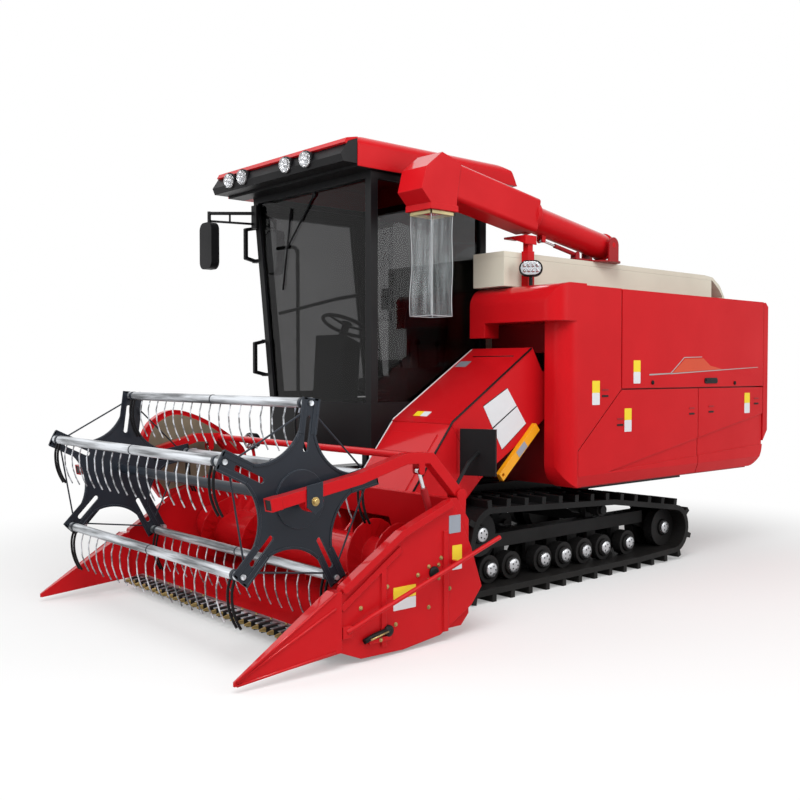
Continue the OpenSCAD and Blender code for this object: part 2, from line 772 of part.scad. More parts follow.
module cab_frame() {
  color(black) {
    for (y = [cab_front, cab_rear - pillar_w]) {
      block(cab_left - pillar_w, cab_left, y, y + pillar_w, sill_h, roof_low);
      along_y(y, y + pillar_w) polygon([
        [cab_right(sill_h), sill_h], [cab_right(sill_h) + pillar_w, sill_h],
        [cab_right(roof_low) + pillar_w, roof_low], [cab_right(roof_low), roof_low]
      ]);
      block(cab_right(roof_low) + pillar_w, cab_left - pillar_w + 1, y, y + pillar_w, roof_low - 50, roof_low);
    }
    block(cab_left - pillar_w, cab_left, cab_front + 1, cab_rear - 1, roof_low - 50, roof_low);
    block(cab_right(roof_low) + 10, cab_right(roof_low) + pillar_w + 10, cab_front + 1, cab_rear - 1,
          roof_low - 40, roof_low);
    right_wall() for (z = [250, door_l - 300])
      translate([door_axis_x, door_axis_y, z]) {
        cylinder(r = 8, h = 120);
        translate([0, -6, 85]) cube([60, 40, 35]);
      }
  }
}
door_axis_x = -32;
door_axis_y = cab_rear - pillar_w - 22;

door_t = 36;
door_front = cab_front + pillar_w + 6;
door_rear = door_axis_y - 18;
module cab_door() {
  color(black) right_wall() difference() {
    union() {
      difference() {
        translate([-door_t + 20, door_front, 8]) cube([door_t, door_rear - door_front, door_l - 80]);
        translate([-door_t, door_front + 60, 60])
          cube([2 * door_t, door_rear - door_front - 120, door_l - 80 - 120]);
      }
      for (z = [250, door_l - 300]) {
        translate([door_axis_x, door_axis_y, z + 20]) cylinder(r = 16, h = 60);
        translate([door_axis_x - 8, door_rear - 25, z + 20]) cube([24, 40, 60]);
      }
    }
    for (z = [250, door_l - 300]) translate([door_axis_x, door_axis_y, z]) cylinder(r = 8 + slip, h = 120);
  }
}
module door_glass() {
  color(glass) right_wall()
    translate([-2, door_front + 60, 60]) cube([6, door_rear - door_front - 120, door_l - 80 - 120]);
}

roof_right = -1440;
roof_r = 70;
roof_step = 60;
module cab_roof() {
  color(red) difference() {
    intersection() {
      along_x(roof_right, roof_left) polygon([
        [-1250, roof_low], [cab_rear + 10, roof_low], [cab_rear + 10, roof_low + roof_step],
        [310, roof_low + roof_step], [250, overall_h - 40], [100, overall_h],
        [-1150, overall_h], [-1250, overall_h - 20]
      ]);
      along_y(-1300, 400) {
        translate([roof_right, roof_low - 1])
          square([roof_left - roof_right, overall_h - roof_r - roof_low + 1]);
        translate([roof_right + roof_r, roof_low])
          square([roof_left - roof_right - 2 * roof_r, overall_h - roof_low + 1]);
        for (x = [roof_right + roof_r, roof_left - roof_r])
          translate([x, overall_h - roof_r]) circle(r = roof_r);
      }
    }
    block(-cab_right_top + 90, cab_left - 70, cab_front + 70, cab_rear - 70, roof_low - 1, overall_h - 60);
  }
}
module roof_visor() {
  color(black) along_x(-1440, cab_left + 25) polygon([
    [-1250, roof_low + 15], [-1250, overall_h - 30], [-1330, overall_h - 60], [-1390, roof_low + 60],
    [-1370, roof_low + 15]
  ]);
}
module cab_glass() {
  color(glass) {
    along_y(cab_front + 20, cab_front + 26) polygon([
      [cab_right(sill_h) + pillar_w, sill_h], [cab_left - pillar_w, sill_h],
      [cab_left - pillar_w, roof_low - 50], [cab_right(roof_low - 50) + pillar_w, roof_low - 50]
    ]);
    block(cab_left - 26, cab_left - 20, cab_front + pillar_w, cab_rear - pillar_w, sill_h, roof_low - 50);
    along_y(cab_rear - 26, cab_rear - 20) polygon([
      [cab_right(sill_h) + pillar_w, sill_h], [cab_left - pillar_w, sill_h],
      [cab_left - pillar_w, roof_low - 50], [cab_right(roof_low - 50) + pillar_w, roof_low - 50]
    ]);
  }
}

floor_z = cab_low + 60;
module seat() {
  color(black) {
    block(-680, -220, -560, -120, floor_z, floor_z + 330);
    block(-700, -200, -600, -110, floor_z + 330, floor_z + 450);
    along_x(-690, -210) polygon([
      [-230, floor_z + 449], [-110, floor_z + 449], [-55, floor_z + 1080], [-150, floor_z + 1080]
    ]);
  }
}
module console() {
  color(slate) {
    block(-130, 60, -700, -90, floor_z, floor_z + 520);
    along_x(-620, -280) polygon([
      [-1050, floor_z], [-900, floor_z], [-850, floor_z + 700], [-1000, floor_z + 760]
    ]);
  }
}

rail_t = 26;
rail_h = 260;
rail_feet = [sill_h + 190, roof_low - 490];
// A grab loop ahead of the right front pillar, with a foot at each end
module grab_loop(low) {
  x = cab_right(low + rail_h) - 36;
  along_x(x - rail_t, x) bent_2d([
    [cab_front + 30, low], [cab_front - 60, low + 20], [cab_front - 60, low + rail_h - 20],
    [cab_front + 30, low + rail_h]
  ], rail_t);
  for (z = [low, low + rail_h]) along_y(cab_front + 8, cab_front + 48) polygon([
    [x - rail_t, z - rail_t / 2], [cab_right(z - rail_t / 2) - slip, z - rail_t / 2],
    [cab_right(z + rail_t / 2) - slip, z + rail_t / 2], [x - rail_t, z + rail_t / 2]
  ]);
}
module handrails() {
  color(black) for (z = rail_feet) grab_loop(z);
}

mirror_y = -1400;
mirror_z = roof_low - 380;
module mirror() {
  arm_z = mirror_z + 255;
  root = cab_right(arm_z) + pillar_w / 2;
  color(black) {
    translate([right_end + 90, 0, mirror_z]) along_y(mirror_y - 35, mirror_y + 35) rounded(180, 360, 60);
    block(root - 25, root + 25, cab_front - 10, cab_front, arm_z - 30, arm_z + 30);
    rod([root, cab_front - 9, arm_z], [right_end + 90, mirror_y, arm_z], 13);
    rod([right_end + 90, mirror_y, arm_z + 13], [right_end + 90, mirror_y, mirror_z + 160], 14);
  }
}

// Feeder house: an upper duct that slopes to the rear and a steeper lower duct to the header
duct_a = [-150, 1670];
duct_b = [-920, 1180];
duct_c = [-652, 800];
duct_d = [118, 1248];
mouth_low = 180;
mouth_high = 655;
feeder_frame_t = 8;
module feeder_house() {
  color(red) difference() {
    union() {
      along_x(feeder_x0, feeder_x1) polygon([
        duct_a, duct_b, [header_back, mouth_high], [header_back, mouth_low], duct_c, duct_d
      ]);
      for (s = [-1, 1])
        along_x(lift_ram_x + s * ram_lug_x - ram_lug_t / 2, lift_ram_x + s * ram_lug_x + ram_lug_t / 2) {
        bar_2d(lift_ram_b, lift_ram_b + [40, 120], 84);
        translate(lift_ram_b) circle(r = 42);
      }
      rod_x(lift_ram_x - 50, lift_ram_x + 50, lift_ram_b[0], lift_ram_b[1], 20);
      along_x(feeder_x0 + 70, feeder_x1 - 70) bar_2d(
        duct_b + 0.16 * ([header_back, mouth_high] - duct_b),
        duct_b + 0.84 * ([header_back, mouth_high] - duct_b),
        2 * feeder_frame_t
      );
      along_x(feeder_x0 - 2, feeder_x1 + 2) bar_2d(duct_b, duct_c, 46);
      for (x = [feeder_x0, feeder_x1 - feeder_wall]) along_x(x, x + feeder_wall)
        bent_2d([[lift_y, lift_z], [lift_y - 2.4 * lift_ear_r, lift_z]], 2 * lift_ear_r - 4);
    }
    along_x(feeder_x0 + feeder_wall, feeder_x1 - feeder_wall) polygon([
      duct_a + [100, 29], duct_b + [22, -28], [header_back - 1, mouth_high - 40],
      [header_back - 1, mouth_low + 40], duct_c + [-22, 28], duct_d + [68, 79]
    ]);
    rod_x(feeder_x0 - 1, feeder_x1 + 1, lift_y, lift_z, lift_pin_r + slip);
  }
}

module header_trough() {
  half = sheet_in;
  color(red) {
    difference() {
      along_x(header_x - half, header_x + half) polygon(concat(
        [[cutter_y, 60], [header_back - 60, 60], [header_back, 120], [header_back, 660], [-1440, 790],
         [-1500, 790]],
        [for (a = [15 : -7 : -90]) [screw_y + trough_r * cos(a), screw_z + trough_r * sin(a)]],
        [[cutter_y, 84]]
      ));
      block(feeder_x0 + feeder_wall, feeder_x1 - feeder_wall, -1480, header_back + 1,
            mouth_low + 40, mouth_high - 40);
    }
    for (s = [-1, 1]) {
      middle = header_x + s * arm_half;
      for (t = [-1, 1]) along_x(middle + t * 38 - 6, middle + t * 38 + 6) {
        bar_2d(reel_pivot, [-1400, 690], 60);
        translate(reel_pivot) circle(r = 36);
      }
      rod_x(middle - 42, middle + 42, reel_pivot[0], reel_pivot[1], 16);
    }
  }
}

sheet_outline = [
  [-2300, 80], [-2160, 22], [-1870, 15], [-1596, 45], [-1350, 175], [-1268, 270], [-1355, 506],
  [-1470, 735], [-1510, 790], [-1880, 655], [-2300, 395]
];
rib_w = 34;
rib_t = 10;
module header_sides() {
  color(red) for (s = [-1, 1]) {
    middle = header_x + s * header_half;
    difference() {
      along_x(middle - sheet_t / 2, middle + sheet_t / 2) polygon(sheet_outline);
      rod_x(middle - sheet_t, middle + sheet_t, screw_y, screw_z, shaft_r + slip);
    }
    out = [middle + s * (sheet_t / 2 - 1), middle + s * (sheet_t / 2 + rib_t)];
    along_x(min(out), max(out)) {
      bar_2d([-2290, 300], [-1890, 560], rib_w);
      for (y = [-2010, -1560]) bar_2d([y, 60], [y, y < -1900 ? 480 : 620], rib_w);
    }
    top = [middle - s * sheet_t / 2 - s, middle + s * 38];
    along_x(min(top), max(top)) bent_2d([[-2270, 400], [-1886, 638], [-1535, 766]], 40);
    ends = [header_x + s * (sheet_in + 1), header_x + s * (reel_ram_x - 22)];
    rod_x(min(ends), max(ends), reel_ram_a[0], reel_ram_a[1], 10);
  }
}

module dividers() {
  color(red) for (s = [-1, 1]) {
    middle = header_x + s * header_half;
    hull() {
      block(middle - 38, middle + 38, -2340, -2300.5, 85, 395);
      block(middle - 6, middle + 6, front_end, front_end + 30, 34, 56);
    }
  }
}

module cutter_bar() {
  count = floor(2 * sheet_in / guard_pitch);
  left = header_x - count * guard_pitch / 2;
  color(slate) translate([0, 0, 62]) linear_extrude(20) polygon(concat(
    [[header_x - sheet_in, cutter_y], [header_x - sheet_in, cutter_y - 55]],
    [for (i = [0 : count - 1]) each [
      [left + (i + 0.28) * guard_pitch, cutter_y - 55], [left + (i + 0.45) * guard_pitch, cutter_y - 165],
      [left + (i + 0.55) * guard_pitch, cutter_y - 165], [left + (i + 0.72) * guard_pitch, cutter_y - 55]
    ]],
    [[header_x + sheet_in, cutter_y - 55], [header_x + sheet_in, cutter_y]]
  ));
}

module crop_rod() {
  r = 13;
  x = left_end - r;
  inner = header_x + header_half + sheet_t / 2;
  color(red) {
    block(inner, inner + 20, -2290, -2230, 150, 210);
    tube([[inner + 14, -2260, 180], [x - 6, -2190, 215], [x, -2120, 245], [x, -1700, 376],
          [x, -1163, 544]], r);
    block(inner, x, -1510, -1490, 428, 452);
  }
}

module safety_prop() {
  color(yellow) along_x(feeder_x1, feeder_x1 + 36) difference() {
    bar_2d([-500, 790], [-130, 1120], 62);
    translate([-480, 808]) circle(r = 12);
  }
}

module header_mirror() {
  color(black) {
    block(970, 1030, header_back, header_back + 10, 530, 590);
    tube([[1000, header_back + 5, 560], [1000, header_back + 70, 590], [985, -1180, 730],
          [930, -960, 930], [885, -822, 985]], 12);
    translate([880, -820, 985]) rotate([0, 0, 25]) block(-120, 120, -14, 14, -150, 150);
  }
}

flight_t = 10;
flight_turns = 2.25;
flight_steps = 20;
// One helical flight around the drum from x0 to x1, turning the given way
module flight(x0, x1, hand) {
  n = round(flight_turns * flight_steps);
  ring = hand > 0
    ? [[drum_r - 8, flight_t], [screw_r, flight_t], [screw_r, 0], [drum_r - 8, 0]]
    : [[drum_r - 8, 0], [screw_r, 0], [screw_r, flight_t], [drum_r - 8, flight_t]];
  points = [
    for (i = [0 : n])
      let (a = hand * 360 * i / flight_steps, x = x0 + (x1 - x0 - flight_t) * i / n)
      for (c = ring) [x + c[1], c[0] * cos(a), c[0] * sin(a)]
  ];
  translate([0, screw_y, screw_z]) polyhedron(points, swept_faces(n, 4));
}
module feed_screw() {
  left = header_x + sheet_in - 12;
  right = header_x - sheet_in + 12;
  color(red) {
    rod_x(right, left, screw_y, screw_z, drum_r);
    flight(feeder_x1 + 10, left - 12, 1);
    flight(right + 4, feeder_x0 - 20, -1);
    for (i = [0 : 7]) {
      a = i * 135;
      x = feeder_x0 + 60 + i * (feeder_w - 120) / 7;
      rod([x, screw_y, screw_z], [x, screw_y + 215 * cos(a), screw_z + 215 * sin(a)], 8);
    }
  }
  color(steel) rod_x(right - 30, left + 30, screw_y, screw_z, shaft_r);
}

arm_line = [[-2640, 860], [-2120, 945], [-1800, 1030], [-1620, 1025], reel_pivot];
function bar_at(i, r) = let (a = bar_angle + 360 * i / bar_count) [reel_y + r * cos(a), reel_z + r * sin(a)];
module reel_arms() {
  color(red) for (s = [-1, 1]) {
    middle = header_x + s * arm_half;
    difference() {
      union() {
        along_x(middle - arm_w / 2, middle + arm_w / 2) {
          bent_2d(arm_line, arm_w);
          translate([reel_y, reel_z]) circle(r = 55);
        }
        for (t = [-1, 1]) along_x(middle + t * 26 - 4, middle + t * 26 + 4) {
          bar_2d(reel_ram_b, [reel_ram_b[0], 1010], 40);
          translate(reel_ram_b) circle(r = 20);
        }
        rod_x(middle - 28, middle + 28, reel_ram_b[0], reel_ram_b[1], 8);
        if (s < 0) rod_x(middle + arm_w / 2 - 1, header_x - star_half - 26, reel_y + ecc, reel_z, ecc_disc_r);
      }
      rod_x(middle - 60, middle + 120, reel_y, reel_z, shaft_r + slip);
      rod_x(middle - 60, middle + 60, reel_pivot[0], reel_pivot[1], 16 + slip);
    }
  }
  color(dark_red) rod_x(header_x - arm_half + arm_w / 2, header_x + arm_half - arm_w / 2, -1620, 1025, 22);
}

journal_r = 14;
star_tip = 28;
star_gap_at = 530;
star_gap_r = 274;
star_slot = [255, 410];
star_slot_w = 30;
star_hub_r = 150;
star_hub_t = 10;
tie_r = 5;
// One end star: a disc with a round gap between its arms and a long slot in each arm
module star_plate() {
  difference() {
    circle(r = reel_r + star_tip);
    for (i = [0 : bar_count - 1]) {
      rotate(bar_angle + 360 * (i + 0.5) / bar_count) translate([star_gap_at, 0]) circle(r = star_gap_r);
      rotate(bar_angle + 360 * i / bar_count) {
        bent_2d([[star_slot[0], 0], [star_slot[1], 0]], star_slot_w);
        translate([reel_r, 0]) circle(r = journal_r + slip);
      }
    }
  }
}
module reel_stars() {
  color(slate) for (s = [-1, 1]) {
    middle = header_x + s * star_half;
    face = middle + s * star_t / 2;
    along_x(middle - star_t / 2, middle + star_t / 2) translate([reel_y, reel_z]) star_plate();
    rod_x(min(middle, face + s * star_hub_t), max(middle, face + s * star_hub_t), reel_y, reel_z, star_hub_r);
    for (i = [0 : bar_count - 1]) {
      p = bar_at(i, reel_r - 26);
      q = bar_at(i + 1, reel_r - 26);
      rod([middle, p[0], p[1]], [middle, q[0], q[1]], tie_r);
    }
  }
  color(steel) rod_x(header_x - arm_half - 22, header_x + arm_half + 22, reel_y, reel_z, shaft_r);
}

crank_x = header_x - star_half - star_t / 2 - crank_gap - crank_t;
spider_x = crank_x - crank_gap - crank_t;
tine_r = 4.5;
// A tine's bend: offset to the rear, and share of its reach below the bar's middle
tine_bow = [[-8, 0.06], [-24, 0.3], [-20, 0.58], [0, 0.82], [24, 1]];
module tine_bar(i) {
  at = bar_at(i, reel_r);
  half = star_half - star_t / 2 - 6;
  count = floor((2 * half - 90) / tine_pitch);
  color(steel) {
    rod_x(header_x - half, header_x + half, at[0], at[1], bar_r);
    rod_x(crank_x + 1, header_x + star_half + 16, at[0], at[1], journal_r);
    along_x(crank_x, crank_x + crank_t) bent_2d([at, at + [ecc, 0]], 40);
    rod_x(spider_x - 3, crank_x + 1, at[0] + ecc, at[1], pin_r);
    for (k = [0 : count]) {
      x = header_x + (k - count / 2) * tine_pitch;
      tube([for (p = tine_bow) [x, at[0] + p[0], at[1] - p[1] * tine_l]], tine_r, 6);
    }
  }
}
module eccentric_spider() {
  middle = [reel_y + ecc, reel_z];
  color(slate) difference() {
    along_x(spider_x, spider_x + crank_t) {
      translate(middle) circle(r = ecc_disc_r + 32);
      for (i = [0 : bar_count - 1]) {
        bar_2d(middle, bar_at(i, reel_r) + [ecc, 0], 44);
        translate(bar_at(i, reel_r) + [ecc, 0]) circle(r = 24);
      }
    }
    rod_x(spider_x - 1, spider_x + crank_t + 1, middle[0], middle[1], ecc_disc_r + slip);
    for (i = [0 : bar_count - 1])
      rod_x(spider_x - 1, spider_x + crank_t + 1,
            bar_at(i, reel_r)[0] + ecc, bar_at(i, reel_r)[1], pin_r + slip);
  }
}

module reel_ram_barrels() {
  color(dark_red) for (s = [-1, 1])
    ram_barrel(header_x + s * reel_ram_x, reel_ram_a, reel_ram_b, 20, 0.62, 10);
}
module reel_ram_rods() {
  color(steel) for (s = [-1, 1]) ram_rod(header_x + s * reel_ram_x, reel_ram_a, reel_ram_b, 20, 11);
}
module lift_ram_barrel() {
  color(dark_red) {
    ram_barrel(lift_ram_x, lift_ram_a, lift_ram_b, 34, 0.66);
    ram_pin(lift_ram_x, lift_ram_a, 20, 50);
  }
}
module lift_ram_rod() color(steel) ram_rod(lift_ram_x, lift_ram_a, lift_ram_b, 34, 30);

placed() track(1);  // track_left
placed() track(-1);  // track_right
placed() rollers(1);  // rollers_left
placed() rollers(-1);  // rollers_right
placed() track_frame(1);  // track_frame_left
placed() track_frame(-1);  // track_frame_right
placed() chassis_frame();
placed() drive_axle();
placed() engine();
placed() thresher_housing();
placed() front_fairing();
placed() lower_panel_front();
placed() lower_panel_rear();
placed() side_cover();
placed() rear_hood();
placed() right_panel();
placed() radiator_door();
placed() grain_tank();
placed() tank_roof();
placed() boom_rest();
placed() work_lamp();
placed() boom_turret();
placed() boom_tube();
placed() boom_outlet();
placed() spout_sleeve();
placed() boom_ram_barrel();
placed() boom_ram_rod();
placed() cab_base();
placed() cab_frame();
placed() cab_roof();
placed() roof_visor();
placed() cab_glass();
placed() cab_door();
placed() door_glass();
placed() seat();
placed() console();
placed() handrails();
placed() mirror();
placed() feeder_house();
placed() header_trough();
placed() header_sides();
placed() dividers();
placed() cutter_bar();
placed() crop_rod();
placed() safety_prop();
placed() header_mirror();
placed() feed_screw();
placed() reel_arms();
placed() reel_stars();
placed() tine_bar(0);  // tine_bar_1
placed() tine_bar(1);  // tine_bar_2
placed() tine_bar(2);  // tine_bar_3
placed() tine_bar(3);  // tine_bar_4
placed() tine_bar(4);  // tine_bar_5
placed() eccentric_spider();
placed() reel_ram_barrels();
placed() reel_ram_rods();
placed() lift_ram_barrel();
placed() lift_ram_rod();
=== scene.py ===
"""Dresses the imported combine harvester: finishes, lamps, glass, seat, fittings, plates, studio and camera."""

import logging
import math
from collections.abc import Iterable, Sequence
from dataclasses import dataclass
from enum import Enum
from typing import ClassVar

import bmesh
import bpy
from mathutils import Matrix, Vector


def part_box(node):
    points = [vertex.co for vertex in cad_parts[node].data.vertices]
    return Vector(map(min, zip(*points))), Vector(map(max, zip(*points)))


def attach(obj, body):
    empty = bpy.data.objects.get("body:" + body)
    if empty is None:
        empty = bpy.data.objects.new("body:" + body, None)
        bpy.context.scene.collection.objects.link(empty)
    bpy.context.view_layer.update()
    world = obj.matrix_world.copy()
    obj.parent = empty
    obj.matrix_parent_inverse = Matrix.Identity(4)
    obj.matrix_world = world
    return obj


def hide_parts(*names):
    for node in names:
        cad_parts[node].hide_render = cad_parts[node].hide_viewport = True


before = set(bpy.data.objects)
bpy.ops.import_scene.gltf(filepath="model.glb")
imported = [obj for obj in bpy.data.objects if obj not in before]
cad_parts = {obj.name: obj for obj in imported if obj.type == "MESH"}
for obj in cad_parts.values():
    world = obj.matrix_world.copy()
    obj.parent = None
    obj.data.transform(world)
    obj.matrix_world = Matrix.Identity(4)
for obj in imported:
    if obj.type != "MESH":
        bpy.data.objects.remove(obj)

LOG = logging.getLogger("harvester")
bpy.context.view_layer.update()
Pair = tuple[float, float]
Pairs = tuple[Pair, ...]
Triple = tuple[float, float, float]
Color = Triple
Tree = bpy.types.NodeTree
Node = bpy.types.Node
Socket = bpy.types.NodeSocket


class Body(Enum):
    """Bodies of the frame that carry added pieces."""

    CHASSIS = "chassis"
    HEADER = "header"
    REEL_FRAME = "reel_frame"
    REEL = "reel"
    COVER = "cover"
    BOOM = "boom"
    BAR_1 = "bar_1"
    BAR_2 = "bar_2"
    BAR_3 = "bar_3"
    BAR_4 = "bar_4"
    BAR_5 = "bar_5"


class Axis(Enum):
    """Directions that plates, lamps and bolts face."""

    LEFT = (1.0, 0.0, 0.0)
    RIGHT = (-1.0, 0.0, 0.0)
    FRONT = (0.0, -1.0, 0.0)
    REAR = (0.0, 1.0, 0.0)
    UP = (0.0, 0.0, 1.0)

    def vector(self) -> Vector:
        """The direction as a vector."""
        return Vector(self.value)


class Layout:
    """Turns places on the machine into points of the frame.

    The machine's own zero lies on the ground, midway between the tracks, half a metre ahead of the
    side cover's hinge rod.
    """

    HINGE_ROD_FRONT = 0.5

    def __init__(self) -> None:
        """Reads the zero from the tracks and from the side cover."""
        left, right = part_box("track_left"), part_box("track_right")
        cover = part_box("side_cover")
        self.zero = Vector(((left[0].x + right[1].x) / 2, cover[0].y - self.HINGE_ROD_FRONT, 0.0))

    def at(self, x: float, y: float, z: float) -> Vector:
        """A point of the frame.

        Args:
            x: metres to the machine's left.
            y: metres to its rear.
            z: metres above the ground.

        Returns:
            The point in the frame.
        """
        return self.zero + Vector((x, y, z))

    def line(self, points: Iterable[Triple]) -> list[Vector]:
        """Several points of the frame."""
        return [self.at(*p) for p in points]

    def outline(self, x: float, places: Iterable[Pair]) -> list[Vector]:
        """Points at one distance from the machine's middle, from places along it and heights."""
        return [self.at(x, y, z) for y, z in places]


LAYOUT = Layout()


def set_inputs(node: Node, **values: float | Sequence[float]) -> Node:
    """Sets the inputs of a node.

    Args:
        node: the node.
        values: the values by the inputs' names, with _ for a space.

    Returns:
        The node.
    """
    for label, value in values.items():
        node.inputs[label.replace("_", " ")].default_value = value
    return node


def add_node(tree: Tree, kind: str, **values: float | Sequence[float]) -> Node:
    """Adds a shader node of a kind, named without its prefix, with the values of its inputs."""
    return set_inputs(tree.nodes.new(f"ShaderNode{kind}"), **values)


def calc(tree: Tree, operation: str, a: Socket | float, b: Socket | float, clamp: bool = False) -> Socket:
    """Adds one Math node.

    Args:
        tree: the tree that gets the node.
        operation: Blender's name of the operation.
        a: first value, a number or a socket.
        b: second value, a number or a socket.
        clamp: whether the result stays within 0 and 1.

    Returns:
        The node's output socket.
    """
    node = add_node(tree, "Math")
    node.operation = operation
    node.use_clamp = clamp
    for socket, value in zip(node.inputs, (a, b)):
        if isinstance(value, float):
            socket.default_value = value
        else:
            tree.links.new(value, socket)
    return node.outputs[0]


class Groups:
    """Shader node groups that several finishes share, each built once."""

    EDGE_SAMPLES = 4
    EDGE_GAIN = 5.0
    FINE_DETAIL = 3.0
    BROAD_DETAIL = 5.0
    DUST_SCALE = 9.0
    DUST_DETAIL = 6.0
    UPWARD_FROM = 0.3
    UPWARD_GAIN = 2.0

    @staticmethod
    def _new(name: str, inputs: dict[str, float], outputs: Sequence[str]) -> tuple[Tree, Node, Node]:
        """Makes an empty group with its sockets.

        Args:
            name: the group's name.
            inputs: float inputs and their defaults.
            outputs: names of the outputs. The one called Normal is a vector.

        Returns:
            The tree, its input node and its output node.
        """
        tree = bpy.data.node_groups.new(name, "ShaderNodeTree")
        for label, value in inputs.items():
            socket = tree.interface.new_socket(name=label, in_out="INPUT", socket_type="NodeSocketFloat")
            socket.default_value = value
        for label in outputs:
            kind = "NodeSocketVector" if label == "Normal" else "NodeSocketFloat"
            tree.interface.new_socket(name=label, in_out="OUTPUT", socket_type=kind)
        return tree, tree.nodes.new("NodeGroupInput"), tree.nodes.new("NodeGroupOutput")

    @classmethod
    def edge_rounding(cls) -> Tree:
        """Rounded edges: a softened normal and a mask that is bright along the edges.

        Returns:
            The group.
        """
        name = "edge_rounding"
        if name in bpy.data.node_groups:
            return bpy.data.node_groups[name]
        tree, entry, leave = cls._new(name, {"Radius": 0.004}, ("Normal", "Edge"))
        link = tree.links.new
        bevel = add_node(tree, "Bevel")
        bevel.samples = cls.EDGE_SAMPLES
        geometry = add_node(tree, "NewGeometry")
        dot = add_node(tree, "VectorMath")
        dot.operation = "DOT_PRODUCT"
        link(entry.outputs["Radius"], bevel.inputs["Radius"])
        link(bevel.outputs["Normal"], dot.inputs[0])
        link(geometry.outputs["Normal"], dot.inputs[1])
        turned = calc(tree, "SUBTRACT", 1.0, dot.outputs["Value"])
        link(calc(tree, "MULTIPLY", turned, cls.EDGE_GAIN, True), leave.inputs["Edge"])
        link(bevel.outputs["Normal"], leave.inputs["Normal"])
        return tree

    @classmethod
    def grain(cls) -> Tree:
        """Fine grain for bump and a broad mottle for colour, both in metres of the frame.

        Returns:
            The group.
        """
        name = "surface_grain"
        if name in bpy.data.node_groups:
            return bpy.data.node_groups[name]
        tree, entry, leave = cls._new(
            name, {"Fine": 220.0, "Broad": 3.0, "Stretch": 1.0}, ("Height", "Mottle"))
        link = tree.links.new
        coords = add_node(tree, "TexCoord")
        split = add_node(tree, "SeparateXYZ")
        join = add_node(tree, "CombineXYZ")
        link(coords.outputs["Object"], split.inputs[0])
        link(calc(tree, "MULTIPLY", split.outputs[0], entry.outputs["Stretch"]), join.inputs[0])
        link(split.outputs[1], join.inputs[1])
        link(split.outputs[2], join.inputs[2])
        for label, detail, output in (
                ("Fine", cls.FINE_DETAIL, "Height"), ("Broad", cls.BROAD_DETAIL, "Mottle")):
            noise = add_node(tree, "TexNoise", Detail=detail)
            link(join.outputs[0], noise.inputs["Vector"])
            link(entry.outputs[label], noise.inputs["Scale"])
            link(noise.outputs["Fac"], leave.inputs[output])
        return tree

    @classmethod
    def dust(cls) -> Tree:
        """A film of field dust, thickest near the ground.

        Returns:
            The group.
        """
        name = "field_dust"
        if name in bpy.data.node_groups:
            return bpy.data.node_groups[name]
        tree, entry, leave = cls._new(name, {"Amount": 0.2, "Reach": 0.7}, ("Mask",))
        link = tree.links.new
        coords = add_node(tree, "TexCoord")
        split = add_node(tree, "SeparateXYZ")
        noise = add_node(tree, "TexNoise", Scale=cls.DUST_SCALE, Detail=cls.DUST_DETAIL)
        link(coords.outputs["Object"], split.inputs[0])
        link(coords.outputs["Object"], noise.inputs["Vector"])
        share = calc(tree, "DIVIDE", split.outputs[2], entry.outputs["Reach"])
        low = calc(tree, "SUBTRACT", 1.0, share, True)
        patch = calc(tree, "MULTIPLY", low, noise.outputs["Fac"])
        link(calc(tree, "MULTIPLY", patch, entry.outputs["Amount"], True), leave.inputs["Mask"])
        return tree

    @classmethod
    def sky_coat(cls) -> Tree:
        """A clear coat that shows the sky on faces that look up.

        Returns:
            The group.
        """
        name = "sky_coat"
        if name in bpy.data.node_groups:
            return bpy.data.node_groups[name]
        tree, entry, leave = cls._new(name, {"Weight": 0.3}, ("Coat",))
        geometry = add_node(tree, "NewGeometry")
        split = add_node(tree, "SeparateXYZ")
        tree.links.new(geometry.outputs["Normal"], split.inputs[0])
        above = calc(tree, "SUBTRACT", split.outputs[2], cls.UPWARD_FROM)
        upward = calc(tree, "MULTIPLY", above, cls.UPWARD_GAIN, True)
        tree.links.new(calc(tree, "MULTIPLY", upward, entry.outputs["Weight"]), leave.inputs["Coat"])
        return tree


